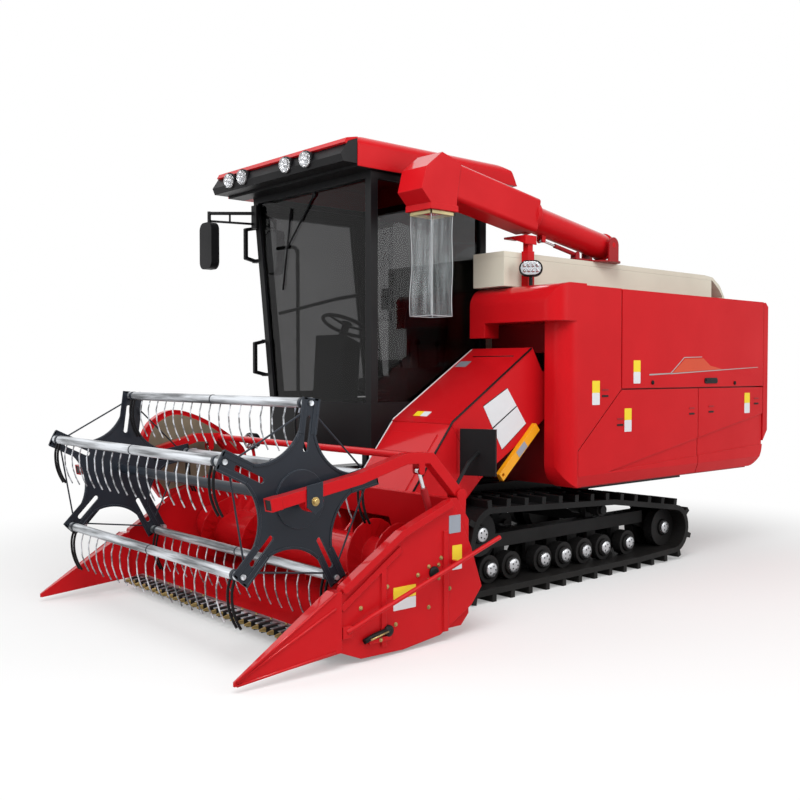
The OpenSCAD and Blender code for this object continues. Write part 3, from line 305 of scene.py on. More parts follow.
class Coating:
    """What all finishes share: a material that is built once, and the nodes that they are wired from."""

    # Numbers of a Mix node's sockets for colours
    MIX_BASE, MIX_OTHER, MIX_RESULT = 6, 7, 2

    name: str

    def material(self) -> bpy.types.Material:
        """The finish as a material, built once.

        Returns:
            The material.
        """
        label = f"{self.name}_finish"
        if label in bpy.data.materials:
            return bpy.data.materials[label]
        made = bpy.data.materials.new(label)
        made.use_nodes = True
        self.wire(made.node_tree, made.node_tree.nodes["Principled BSDF"])
        return made

    def wire(self, tree: Tree, shader: Node) -> None:
        """Wires the finish to its shader."""
        raise NotImplementedError

    def group(self, tree: Tree, group: Tree, **values: float) -> bpy.types.NodeOutputs:
        """Places a node group.

        Args:
            tree: the material's tree.
            group: the group.
            values: the values of its inputs.

        Returns:
            Its outputs.
        """
        node = add_node(tree, "Group")
        node.node_tree = group
        return set_inputs(node, **values).outputs

    def mix(self, tree: Tree, factor: Socket, base: Socket | Color, other: Color) -> Socket:
        """Mixes a colour over another.

        Args:
            tree: the material's tree.
            factor: the socket that sets the share of the other colour.
            base: the socket or colour below.
            other: the colour above.

        Returns:
            The mixed colour's socket.
        """
        node = add_node(tree, "Mix")
        node.data_type = "RGBA"
        tree.links.new(factor, node.inputs["Factor"])
        if isinstance(base, tuple):
            node.inputs[self.MIX_BASE].default_value = (*base, 1.0)
        else:
            tree.links.new(base, node.inputs[self.MIX_BASE])
        node.inputs[self.MIX_OTHER].default_value = (*other, 1.0)
        return node.outputs[self.MIX_RESULT]

    def spread(self, tree: Tree, value: Socket, source: Pair, target: Pair) -> Socket:
        """Maps a value from one range to another.

        Args:
            tree: the material's tree.
            value: the value's socket.
            source: the range that it is taken from.
            target: the range that it gets.

        Returns:
            The mapped value's socket.
        """
        node = add_node(tree, "MapRange", From_Min=source[0], From_Max=source[1], To_Min=target[0],
                        To_Max=target[1])
        tree.links.new(value, node.inputs["Value"])
        return node.outputs["Result"]

    def bump(self, tree: Tree, shader: Node, height: Socket, strength: float, depth: float,
             normal: Socket | None = None) -> None:
        """Gives the shader a bumpy normal.

        Args:
            tree: the material's tree.
            shader: the shader.
            height: the socket of the bumps' height.
            strength: how strongly they show.
            depth: how deep they are, in metres.
            normal: the normal below the bumps, if it isn't the surface's own.
        """
        node = add_node(tree, "Bump", Strength=strength, Distance=depth)
        tree.links.new(height, node.inputs["Height"])
        if normal is not None:
            tree.links.new(normal, node.inputs["Normal"])
        tree.links.new(node.outputs["Normal"], shader.inputs["Normal"])


@dataclass(frozen=True)
class Finish(Coating):
    """An opaque finish: a base colour with mottle, dust, lighter edges that are partly wear and partly a
    painted highlight, a clear coat and a fine grain.
    """

    DUST_COLOR: ClassVar[Color] = (0.30, 0.25, 0.19)
    ROUGHER: ClassVar[Pair] = (0.85, 1.2)
    COAT_ROUGHNESS: ClassVar[float] = 0.08
    GRAIN_STRENGTH: ClassVar[float] = 0.35

    name: str
    color: Color
    roughness: float = 0.4
    metallic: float = 0.0
    coat: float = 0.0
    fine: float = 260.0
    broad: float = 3.0
    stretch: float = 1.0
    depth: float = 0.0006
    mottle: float = 0.1
    edge_wear_and_highlight: float = 0.0
    edge_wear_and_highlight_color: Color = (0.3, 0.28, 0.26)
    dust: float = 0.15
    edge: float = 0.004
    specular: float = 0.3
    patch: float = 0.25

    def wire(self, tree: Tree, shader: Node) -> None:
        """Wires mottle, dust, the lighter edges (partly wear, partly a painted highlight), coat and grain to
        the shader.

        Args:
            tree: the material's tree.
            shader: its shader.
        """
        link = tree.links.new
        grain = self.group(tree, Groups.grain(), Fine=self.fine, Broad=self.broad, Stretch=self.stretch)
        edge = self.group(tree, Groups.edge_rounding(), Radius=self.edge)
        dust = self.group(tree, Groups.dust(), Amount=self.dust)
        coat = self.group(tree, Groups.sky_coat(), Weight=self.coat)
        patches = (0.5 - self.patch, 0.5 + self.patch)
        darker = tuple(c * (1 - 2 * self.mottle) for c in self.color)
        color = self.mix(tree, self.spread(tree, grain["Mottle"], patches, (0.0, 1.0)), self.color, darker)
        color = self.mix(tree, dust["Mask"], color, self.DUST_COLOR)
        # Lighter colour along the edge mask: partly wear, partly a painted highlight on the rounded edges
        if self.edge_wear_and_highlight > 0:
            wear_and_highlight_mask = calc(tree, "MULTIPLY", edge["Edge"], self.edge_wear_and_highlight, True)
            color = self.mix(tree, wear_and_highlight_mask, color, self.edge_wear_and_highlight_color)
        low, high = (min(1.0, self.roughness * share) for share in self.ROUGHER)
        link(color, shader.inputs["Base Color"])
        link(self.spread(tree, grain["Mottle"], patches, (low, high)), shader.inputs["Roughness"])
        link(coat["Coat"], shader.inputs["Coat Weight"])
        set_inputs(shader, Metallic=self.metallic, Coat_Roughness=self.COAT_ROUGHNESS,
                   Specular_IOR_Level=self.specular)
        self.bump(tree, shader, grain["Height"], self.GRAIN_STRENGTH, self.depth, edge["Normal"])


@dataclass(frozen=True)
class ClearFinish(Coating):
    """A see-through finish: tinted glass or a lamp's lens."""

    RIPPLE_SCALE: ClassVar[float] = 30.0
    SMEAR_SCALE: ClassVar[float] = 2.0
    RIPPLE_STRENGTH: ClassVar[float] = 0.5

    name: str
    tint: Color
    roughness: float = 0.02
    ior: float = 1.45
    smear: float = 0.1
    ripple: float = 0.0

    def wire(self, tree: Tree, shader: Node) -> None:
        """Wires the tint with its smears, and the ripples, to the shader.

        Args:
            tree: the material's tree.
            shader: its shader.
        """
        grain = self.group(tree, Groups.grain(), Fine=self.RIPPLE_SCALE, Broad=self.SMEAR_SCALE)
        smeared = tuple(c * (1 - self.smear) for c in self.tint)
        tree.links.new(self.mix(tree, grain["Mottle"], self.tint, smeared), shader.inputs["Base Color"])
        set_inputs(shader, Transmission_Weight=1.0, Roughness=self.roughness, IOR=self.ior)
        if self.ripple > 0:
            self.bump(tree, shader, grain["Height"], self.RIPPLE_STRENGTH, self.ripple)


@dataclass(frozen=True)
class SheetFinish(Coating):
    """A thin clear plastic sheet with long milky streaks."""

    STREAK_SCALE: ClassVar[Triple] = (30.0, 30.0, 2.2)
    STREAK_DETAIL: ClassVar[float] = 5.0
    STREAK_RANGE: ClassVar[Pair] = (0.42, 0.72)
    CREASE_STRENGTH: ClassVar[float] = 0.6
    CREASE_DEPTH: ClassVar[float] = 0.006

    name: str
    color: Color
    roughness: float = 0.15
    thin: float = 0.05
    milky: float = 0.34

    def wire(self, tree: Tree, shader: Node) -> None:
        """Wires the streaks to the shader's alpha and normal.

        Args:
            tree: the material's tree.
            shader: its shader.
        """
        link = tree.links.new
        set_inputs(shader, Base_Color=(*self.color, 1.0), Roughness=self.roughness)
        coords = add_node(tree, "TexCoord")
        stretch = add_node(tree, "Mapping", Scale=self.STREAK_SCALE)
        noise = add_node(tree, "TexNoise", Scale=1.0, Detail=self.STREAK_DETAIL)
        link(coords.outputs["Object"], stretch.inputs["Vector"])
        link(stretch.outputs["Vector"], noise.inputs["Vector"])
        streaks = noise.outputs["Fac"]
        link(self.spread(tree, streaks, self.STREAK_RANGE, (self.thin, self.milky)), shader.inputs["Alpha"])
        self.bump(tree, shader, streaks, self.CREASE_STRENGTH, self.CREASE_DEPTH)


# Each finish's edge colour is lighter than its base: partly wear, partly a painted highlight along rounded
# edges; on the red enamel it is a painted highlight
RED = Finish("red_enamel", (0.52, 0.006, 0.010), 0.36, coat=1.0, mottle=0.05, edge_wear_and_highlight=0.3,
             edge_wear_and_highlight_color=(0.66, 0.04, 0.04), dust=0.02, edge=0.007, specular=0.1)
DEEP_RED = Finish("deep_red_enamel", (0.33, 0.006, 0.010), 0.38, coat=0.1, mottle=0.08, edge_wear_and_highlight=0.3,
                  edge_wear_and_highlight_color=(0.5, 0.06, 0.06), dust=0.08, specular=0.2)
CREAM = Finish("cream_enamel", (0.66, 0.64, 0.53), 0.42, coat=0.2, mottle=0.05, dust=0.08, edge=0.006)
BLACK = Finish("black_satin", (0.006, 0.006, 0.007), 0.34, coat=0.04, mottle=0.15, edge_wear_and_highlight=0.2,
               edge_wear_and_highlight_color=(0.04, 0.04, 0.045), dust=0.02, specular=0.14)
PLASTIC = Finish("moulded_black", (0.006, 0.006, 0.007), 0.45, fine=500.0, depth=0.0008, mottle=0.12,
                 dust=0.02, specular=0.16)
SLATE = Finish("slate_enamel", (0.017, 0.022, 0.031), 0.34, coat=0.08, mottle=0.12, edge_wear_and_highlight=0.5,
               edge_wear_and_highlight_color=(0.12, 0.14, 0.17), dust=0.03, specular=0.2)
IRON = Finish("cast_iron", (0.012, 0.012, 0.013), 0.5, metallic=0.2, fine=120.0, depth=0.0015, mottle=0.2,
              edge_wear_and_highlight=0.3, edge_wear_and_highlight_color=(0.04, 0.04, 0.043), dust=0.04, specular=0.12)
RUBBER = Finish("track_rubber", (0.006, 0.006, 0.0065), 0.55, fine=90.0, depth=0.002, mottle=0.25, edge_wear_and_highlight=0.3,
                edge_wear_and_highlight_color=(0.022, 0.022, 0.023), dust=0.03, edge=0.008, specular=0.14)
ZINC = Finish("galvanised_steel", (0.70, 0.73, 0.77), 0.34, metallic=0.6, fine=70.0, broad=30.0, stretch=0.07,
              depth=0.0016, mottle=0.40, dust=0.0, patch=0.11)
STEEL = Finish("bright_steel", (0.55, 0.56, 0.58), 0.32, metallic=0.9, stretch=0.1, mottle=0.12, edge_wear_and_highlight=0.2,
               edge_wear_and_highlight_color=(0.7, 0.7, 0.7), dust=0.05)
CHROME = Finish("ram_chrome", (0.72, 0.72, 0.74), 0.1, metallic=1.0, mottle=0.03, depth=0.0001, dust=0.02)
BRASS = Finish("passivated_steel", (0.46, 0.33, 0.13), 0.35, metallic=0.85, mottle=0.25, dust=0.05)
YELLOW = Finish("yellow_enamel", (0.80, 0.34, 0.008), 0.36, coat=0.3, mottle=0.06, edge_wear_and_highlight=0.3,
                edge_wear_and_highlight_color=(0.9, 0.5, 0.1))
LABEL_YELLOW = Finish("label_yellow", (0.80, 0.60, 0.02), 0.45, mottle=0.04, depth=0.0002, edge=0.0006)
LABEL_WHITE = Finish("label_white", (0.66, 0.67, 0.69), 0.45, mottle=0.04, depth=0.0002, edge=0.0006)
LABEL_GREY = Finish("label_grey", (0.30, 0.33, 0.38), 0.4, metallic=0.4, mottle=0.06, depth=0.0002,
                    edge=0.0006)
SILVER_LINE = Finish("silver_stripe", (0.36, 0.34, 0.34), 0.35, metallic=0.4, mottle=0.05, edge=0.0005)
AMBER_BAND = Finish("amber_stripe", (0.60, 0.055, 0.010), 0.34, coat=0.35, mottle=0.15, broad=1.2,
                    edge=0.0005)
SEAT_VINYL = Finish("seat_vinyl", (0.018, 0.018, 0.02), 0.5, fine=700.0, depth=0.0012, mottle=0.15, dust=0.0)
REFLECTOR = Finish("lamp_reflector", (0.8, 0.8, 0.82), 0.12, metallic=1.0, fine=60.0, depth=0.003, mottle=0.1)
MIRROR = Finish("mirror_glass", (0.75, 0.77, 0.78), 0.03, metallic=1.0, depth=0.00005, mottle=0.02, dust=0.0)
DUSTY = Finish("dusty_primer", (0.22, 0.19, 0.13), 0.6, mottle=0.2, broad=6.0)
DARK_GLASS = Finish("dark_screen", (0.004, 0.004, 0.005), 0.08, depth=0.00005, mottle=0.05, dust=0.0)
GLASS = ClearFinish("tinted_glass", (0.26, 0.26, 0.262), ior=1.2)
LENS = ClearFinish("lamp_lens", (0.92, 0.93, 0.94), 0.04, ripple=0.002)
SLEEVE = SheetFinish("clear_sleeve", (0.56, 0.62, 0.64), 0.16, milky=0.22)
WELD = Finish("sleeve_weld", (0.62, 0.65, 0.67), 0.3, mottle=0.2, dust=0.0)
CLAMP = Finish("clamp_strip", (0.55, 0.47, 0.24), 0.4, metallic=0.3, mottle=0.2)

NODE_FINISHES: dict[str, Coating] = {
    "thresher_housing": DEEP_RED, "front_fairing": RED, "lower_panel_front": RED, "lower_panel_rear": RED,
    "side_cover": RED, "rear_hood": RED, "right_panel": RED, "radiator_door": RED, "cab_roof": RED,
    "feeder_house": RED, "header_trough": RED, "header_sides": RED, "dividers": RED, "crop_rod": RED,
    "reel_arms": RED, "boom_turret": DEEP_RED, "boom_tube": RED, "boom_outlet": RED, "feed_screw": RED,
    "boom_rest": RED, "grain_tank": CREAM, "tank_roof": CREAM, "chassis_frame": BLACK, "cab_base": BLACK,
    "cab_frame": BLACK, "cab_door": BLACK, "handrails": BLACK, "rollers_left": IRON, "rollers_right": IRON,
    "track_frame_left": IRON, "track_frame_right": IRON, "drive_axle": IRON, "engine": IRON,
    "track_left": RUBBER, "track_right": RUBBER, "reel_stars": SLATE, "eccentric_spider": SLATE,
    "cutter_bar": SLATE, "lift_ram_barrel": DEEP_RED, "reel_ram_barrels": DEEP_RED,
    "boom_ram_barrel": DEEP_RED, "lift_ram_rod": CHROME, "reel_ram_rods": CHROME, "boom_ram_rod": CHROME,
    "roof_visor": PLASTIC, "work_lamp": PLASTIC, "mirror": PLASTIC, "header_mirror": PLASTIC,
    "console": PLASTIC, "cab_glass": GLASS, "door_glass": GLASS, "seat": SEAT_VINYL, "spout_sleeve": SLEEVE,
    "safety_prop": YELLOW, **{f"tine_bar_{i}": ZINC for i in range(1, 6)},
}


class Shape:
    """A mesh under construction, made of simple parts with their own material numbers."""

    # Radii and heights of a bolt's washer and head, as shares of the head's radius
    WASHER: Pairs = ((1.35, 0.0), (1.35, 0.25))
    HEAD: Pairs = ((1.0, 0.0), (1.0, 0.6), (0.8, 0.75))

    def __init__(self) -> None:
        """Starts with no faces."""
        self.mesh = bmesh.new()

    def _paint(self, faces: Iterable[bmesh.types.BMFace], slot: int, smooth: bool) -> None:
        """Sets the material number and shading of some faces.

        Args:
            faces: the faces.
            slot: the material number.
            smooth: whether they shade smooth.
        """
        for face in faces:
            face.material_index = slot
            face.smooth = smooth

    def loft(self, rings: Sequence[Sequence[Vector]], slot: int = 0, smooth: bool = True,
             caps: bool = True, closed: bool = True) -> None:
        """Joins rings of points with faces.

        Args:
            rings: the rings, all with as many points.
            slot: the material number.
            smooth: whether the sides shade smooth.
            caps: whether the first and last ring are closed with a face.
            closed: whether each ring's last point joins its first.
        """
        rows = [[self.mesh.verts.new(p) for p in ring] for ring in rings]
        count = len(rows[0])
        for low, high in zip(rows, rows[1:]):
            for k in range(count if closed else count - 1):
                n = (k + 1) % count
                self._paint([self.mesh.faces.new((low[k], low[n], high[n], high[k]))], slot, smooth)
        if caps:
            self._paint([self.mesh.faces.new(rows[0][::-1]), self.mesh.faces.new(rows[-1])], slot, False)

    def turned(self, base: Vector, axis: Vector, profile: Sequence[Pair], sides: int = 24,
               slot: int = 0, smooth: bool = True) -> None:
        """A turned form: rings of the given radius and height along an axis.

        Args:
            base: where height zero lies.
            axis: the direction of the height.
            profile: pairs of radius and height.
            sides: faces around the axis.
            slot: the material number.
            smooth: whether the sides shade smooth.
        """
        along = axis.normalized()
        across = along.orthogonal().normalized()
        other = along.cross(across)
        self.loft([
            [base + along * h + r * (math.cos(a) * across + math.sin(a) * other)
             for a in (math.tau * k / sides for k in range(sides))]
            for r, h in profile
        ], slot, smooth)

    def tube(self, path: Sequence[Vector], radius: float, sides: int = 10, slot: int = 0) -> None:
        """A round bar along a path, its rings turned with the path.

        Args:
            path: the points of the bar's middle line.
            radius: the bar's radius.
            sides: faces around the bar.
            slot: the material number.
        """
        rings = []
        side = None
        for i, here in enumerate(path):
            before, after = path[max(i - 1, 0)], path[min(i + 1, len(path) - 1)]
            along = (after - before).normalized()
            side = along.orthogonal() if side is None else side - along * side.dot(along)
            side.normalize()
            other = along.cross(side)
            rings.append([
                here + radius * (math.cos(a) * side + math.sin(a) * other)
                for a in (math.tau * k / sides for k in range(sides))
            ])
        self.loft(rings, slot)

    def slab(self, outline: Sequence[Vector], depth: Vector, slot: int = 0) -> None:
        """A flat outline pushed along a vector."""
        self.loft([list(outline), [p + depth for p in outline]], slot, False)

    def block(self, low: Vector, high: Vector, slot: int = 0) -> None:
        """A box between two corners."""
        corners = [(low.x, low.y), (high.x, low.y), (high.x, high.y), (low.x, high.y)]
        self.slab([Vector((x, y, low.z)) for x, y in corners], Vector((0, 0, high.z - low.z)), slot)

    def plate(self, middle: Vector, right: Vector, up: Vector, size: Pair, depth: float,
              corner: float = 0.004, slot: int = 0) -> None:
        """A flat plate with round corners, standing proud of a surface.

        Args:
            middle: middle of the plate's back.
            right: its direction of width.
            up: its direction of height.
            size: width and height.
            depth: thickness along right x up.
            corner: radius of the corners.
            slot: the material number.
        """
        outline = []
        for turn, (sx, sy) in enumerate(((1, 1), (-1, 1), (-1, -1), (1, -1))):
            centre = middle + right * sx * (size[0] / 2 - corner) + up * sy * (size[1] / 2 - corner)
            for step in range(4):
                angle = math.pi / 2 * (turn + step / 3)
                outline.append(centre + corner * (math.cos(angle) * right + math.sin(angle) * up))
        self.slab(outline, right.cross(up) * depth, slot)

    def bolt(self, at: Vector, axis: Vector, radius: float, slot: int = 0) -> None:
        """A hexagon bolt head on its washer.

        Args:
            at: the middle of the washer's seat.
            axis: the bolt's direction.
            radius: the head's radius.
            slot: the material number.
        """
        washer = [(radius * share, radius * height) for share, height in self.WASHER]
        head = [(radius * share, radius * height) for share, height in self.HEAD]
        self.turned(at, axis, washer, 16, slot, False)
        self.turned(at + axis * washer[-1][1], axis, head, 6, slot, False)

    def piece(self, name: str, body: Body, finishes: Sequence[Coating],
              slot: str | None = None) -> bpy.types.Object:
        """Makes the object and lets it ride on a body.

        Args:
            name: the piece's name.
            body: the body that carries it.
            finishes: finishes in the order of the material numbers.
            slot: the name of a material slot in the record; not used.

        Returns:
            The object.
        """
        bmesh.ops.recalc_face_normals(self.mesh, faces=self.mesh.faces[:])
        data = bpy.data.meshes.new(name)
        self.mesh.to_mesh(data)
        self.mesh.free()
        made = bpy.data.objects.new(name, data)
        bpy.context.scene.collection.objects.link(made)
        for finish in finishes:
            data.materials.append(finish.material())
        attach(made, body.value)
        LOG.info("%s: %d faces on %s", name, len(data.polygons), body.value)
        return made


def smooth_path(points: Sequence[Vector], steps: int = 6) -> list[Vector]:
    """A smooth line through some points.

    Args:
        points: the points that the line passes.
        steps: points added for each stretch.

    Returns:
        The line's points.
    """
    line = []
    for i in range(len(points) - 1):
        p = [points[max(i - 1, 0)], points[i], points[i + 1], points[min(i + 2, len(points) - 1)]]
        for k in range(steps):
            t = k / steps
            line.append(0.5 * (2 * p[1] + (p[2] - p[0]) * t + (2 * p[0] - 5 * p[1] + 4 * p[2] - p[3]) * t * t
                               + (3 * p[1] - p[0] - 3 * p[2] + p[3]) * t ** 3))
    return line + [points[-1]]


class NodeFinishes:
    """Gives every node of the frame its finish."""

    def dress(self) -> None:
        """Assigns the materials."""
        for name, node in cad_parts.items():
            finish = NODE_FINISHES[name]
            node.data.materials.clear()
            node.data.materials.append(finish.material())


@dataclass
class Lamps:
    """Round lamps in the roof visor, the oval work lamp on the fairing and the lamp on the header's stalk.

    Radii of the rim, bowl, emitters and lens are shares of a round lamp's own radius.
    """

    roof_x: tuple[float, ...] = (-0.20, -0.44, -1.00, -1.18)
    roof_seat: Pair = (-1.385, 2.944)
    roof_axis: Triple = (0.12, -0.98, -0.13)
    roof_radius: float = 0.054
    rim: Pairs = ((0.9, -0.05), (1.1, 0.0), (1.1, 0.012), (0.98, 0.016))
    bowl_seat: float = 0.0165
    bowl: Pairs = ((0.97, 0.0), (0.95, 0.002))
    emitter_seat: float = 0.0186
    emitter_circle: float = 0.58
    emitter: Pairs = ((0.26, 0.0), (0.2, 0.004), (0.05, 0.007))
    lens_seat: float = 0.026
    lens: Pairs = ((0.97, 0.0), (0.8, 0.006), (0.4, 0.009))
    work_middle: Triple = (0.62, -0.02, 2.235)
    work_turn_deg: float = 40.0
    work_reach: float = 0.0314
    work_half: Pair = (0.072, 0.046)
    work_layers: tuple[tuple[float, Pair, float, float], ...] = (
        (0.0, (2.12, 2.2), 0.006, 1.05), (0.0062, (2.0, 2.0), 0.002, 0.95), (0.0148, (2.0, 2.0), 0.003, 0.95))
    work_emitter_seat: float = 0.0083
    work_emitter_step: float = 0.42
    work_emitter_rows: Pair = (-0.4, 0.4)
    work_emitter: Pairs = ((0.013, 0.0), (0.011, 0.004), (0.003, 0.006))
    stalk: tuple[Triple, ...] = (
        (-0.80, -1.43, 0.79), (-0.80, -1.43, 0.88), (-0.806, -1.435, 0.93), (-0.808, -1.44, 0.955))
    stalk_radius: float = 0.012
    stalk_foot: Triple = (-0.80, -1.43, 0.791)
    stalk_foot_size: Pair = (0.08, 0.05)
    header_look: Triple = (0.05, -0.99, -0.12)
    header_radius: float = 0.057
    header_offset: Pair = (0.012, 0.042)
    header_shell_back: float = 0.03
    header_shell: Pairs = ((0.026, 0.0), (0.06, 0.012), (0.064, 0.03))

    def lamp(self, shape: Shape, at: Vector, axis: Vector, radius: float) -> None:
        """One lamp: a dark rim, a bowl with its emitters, and a domed lens.

        Args:
            shape: the mesh that gets it.
            at: middle of the lamp's seat.
            axis: where the lamp looks.
            radius: radius of the lamp.
        """
        def form(seat: Vector, profile: Pairs, sides: int, slot: int) -> None:
            """One turned form of the lamp."""
            shape.turned(seat, axis, [(radius * share, height) for share, height in profile], sides, slot)

        form(at, self.rim, 28, 0)
        form(at + axis * self.bowl_seat, self.bowl, 28, 1)
        across = axis.orthogonal().normalized()
        other = axis.cross(across)
        for k in range(7):
            turn = math.tau * k / 6
            reach = 0.0 if k == 6 else radius * self.emitter_circle
            spot = at + axis * self.emitter_seat + reach * (math.cos(turn) * across + math.sin(turn) * other)
            form(spot, self.emitter, 12, 1)
        form(at + axis * self.lens_seat, self.lens, 28, 2)

    def work_lamp(self) -> None:
        """The oval work lamp's face: a bright bowl with two rows of emitters behind a lens."""
        shape = Shape()
        turn = math.radians(self.work_turn_deg)
        ahead = Vector((math.sin(turn), -math.cos(turn), 0.0))
        across = Vector((math.cos(turn), math.sin(turn), 0.0))
        up = Axis.UP.vector()
        face = LAYOUT.at(*self.work_middle) + ahead * self.work_reach
        width, height = self.work_half
        for slot, (seat, (wide, high), depth, corner) in enumerate(self.work_layers):
            size = (wide * width, high * height)
            shape.plate(face + ahead * seat, across, up, size, depth, corner * height, slot)
        for row in self.work_emitter_rows:
            for k in range(4):
                aside = width * (k - 1.5) * self.work_emitter_step
                spot = face + ahead * self.work_emitter_seat + across * aside + up * height * row
                shape.turned(spot, ahead, self.work_emitter, 12, 1)
        shape.piece("work_lamp_face", Body.CHASSIS, (PLASTIC, REFLECTOR, LENS))

    def roof_lamps(self) -> None:
        """The lamps in the visor."""
        shape = Shape()
        axis = Vector(self.roof_axis).normalized()
        for x in self.roof_x:
            self.lamp(shape, LAYOUT.at(x, *self.roof_seat), axis, self.roof_radius)
        shape.piece("roof_lamps", Body.CHASSIS, (PLASTIC, REFLECTOR, LENS))

    def header_lamp(self) -> None:
        """The lamp on its stalk, with its shell behind it."""
        shape = Shape()
        path = smooth_path(LAYOUT.line(self.stalk))
        shape.tube(path, self.stalk_radius, 10, 3)
        shape.plate(LAYOUT.at(*self.stalk_foot), Axis.LEFT.vector(), Axis.REAR.vector(), self.stalk_foot_size,
                    0.006, 0.008, 3)
        look = Vector(self.header_look).normalized()
        ahead, above = self.header_offset
        seat = path[-1] + look * ahead + Axis.UP.vector() * above
        shape.turned(seat - look * self.header_shell_back, look, self.header_shell, 24, 0)
        self.lamp(shape, seat, look, self.header_radius)
        shape.piece("header_lamp", Body.HEADER, (PLASTIC, REFLECTOR, LENS, RED))

    def build(self) -> None:
        """Builds them."""
        self.roof_lamps()
        self.work_lamp()
        self.header_lamp()


@dataclass
class SidePlates:
    """Blank two-colour plates, stripes, handle, latches and catches of the left side."""

    proud: float = 0.0012
    plates: tuple[tuple[Body, float, float], ...] = (
        (Body.CHASSIS, 0.238, 1.353), (Body.COVER, 0.724, 1.50), (Body.CHASSIS, 0.617, 1.15),
        (Body.CHASSIS, 2.299, 1.239),
    )
    plate_size: Pair = (0.085, 0.17)
    plate_corner: float = 0.005
    stripe: Pairs = ((0.881, 1.479), (1.16, 1.488), (1.347, 1.612), (1.597, 1.619))
    stripe_width: float = 0.011
    long_stripe: Pairs = ((1.16, 1.486), (2.196, 1.529), (2.473, 1.54))
    long_stripe_width: float = 0.008
    narrowing: float = 0.7
    band: Pairs = ((1.19, 1.494), (1.36, 1.602), (1.62, 1.607), (1.72, 1.55), (1.9, 1.523))
    band_share: float = 0.6
    handle: Pair = (1.73, 1.43)
    handle_plates: tuple[tuple[float, Pair, float, float], ...] = (
        (0.0, (0.19, 0.045), 0.006, 0.018), (0.006, (0.165, 0.016), 0.012, 0.007))
    latches: Pairs = ((0.922, 1.421), (2.094, 1.409))
    latch: Pairs = ((0.016, 0.0), (0.016, 0.006), (0.012, 0.009))
    latch_key: Pair = (0.008, 0.026)
    catches: Pairs = ((0.342, 1.351), (0.521, 1.139), (1.456, 1.194), (1.737, 1.202), (2.448, 1.253))
    catch_width: float = 0.075
    catch_rows: tuple[Triple, ...] = ((0.022, 0.012, 0.005), (-0.022, 0.014, 0.006))
    catch_proud: float = 0.003

    def on_skin(self, y: float, z: float) -> Vector:
        """A point on the left skin."""
        return LAYOUT.at(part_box("side_cover")[1].x - LAYOUT.zero.x, y, z)

    def flat(self, shape: Shape, y: float, z: float, size: Pair, depth: float, corner: float,
             slot: int = 0) -> None:
        """A plate that lies flat on the left skin, as Shape.plate makes it."""
        shape.plate(self.on_skin(y, z), Axis.REAR.vector(), Axis.UP.vector(), size, depth, corner, slot)

    def ribbon(self, shape: Shape, line: Pairs, width: float) -> None:
        """A thin stripe along a line on the skin, narrowing at its rear end.

        Args:
            shape: the mesh that gets it.
            line: places along the machine and heights.
            width: the stripe's width.
        """
        out = Axis.LEFT.vector()
        path = [self.on_skin(y, z) for y, z in line]
        low, high = [], []
        for i, here in enumerate(path):
            along = (path[min(i + 1, len(path) - 1)] - path[max(i - 1, 0)]).normalized()
            half = width / 2 * (1 - self.narrowing * i / len(path))
            low.append(here - out.cross(along) * half)
            high.append(here + out.cross(along) * half)
        shape.slab(low + high[::-1], out * self.proud)

    def build(self) -> None:
        """Builds all of them."""
        width, height = self.plate_size
        for body in (Body.CHASSIS, Body.COVER):
            shape = Shape()
            for y, z in ((y, z) for owner, y, z in self.plates if owner is body):
                for slot, lift in enumerate((height / 4, -height / 4)):
                    self.flat(shape, y, z + lift, (width, height / 2), self.proud, self.plate_corner, slot)
            shape.piece(f"blank_plates_{body.value}", body, (LABEL_YELLOW, LABEL_WHITE))
        shape = Shape()
        self.ribbon(shape, self.stripe, self.stripe_width)
        self.ribbon(shape, self.long_stripe, self.long_stripe_width)
        band = [self.on_skin(y, z) for y, z in self.band]
        shape.slab(band, Axis.LEFT.vector() * self.proud * self.band_share, 1)
        shape.piece("side_stripes", Body.COVER, (SILVER_LINE, AMBER_BAND))
        shape = Shape()
        y, z = self.handle
        for lift, size, depth, corner in self.handle_plates:
            self.flat(shape, y, z + lift, size, depth, corner)
        for y, z in self.latches:
            shape.turned(self.on_skin(y, z), Axis.LEFT.vector(), self.latch, 18)
            self.flat(shape, y, z, self.latch_key, 0.012, 0.003)
        shape.piece("cover_handle", Body.COVER, (PLASTIC,), "black_plastic")
        shape = Shape()
        for y, z in self.catches:
            for slot, (lift, tall, corner) in enumerate(self.catch_rows):
                self.flat(shape, y, z + lift, (self.catch_width, tall), self.catch_proud, corner, slot)
        shape.piece("panel_catches", Body.CHASSIS, (DEEP_RED, PLASTIC))


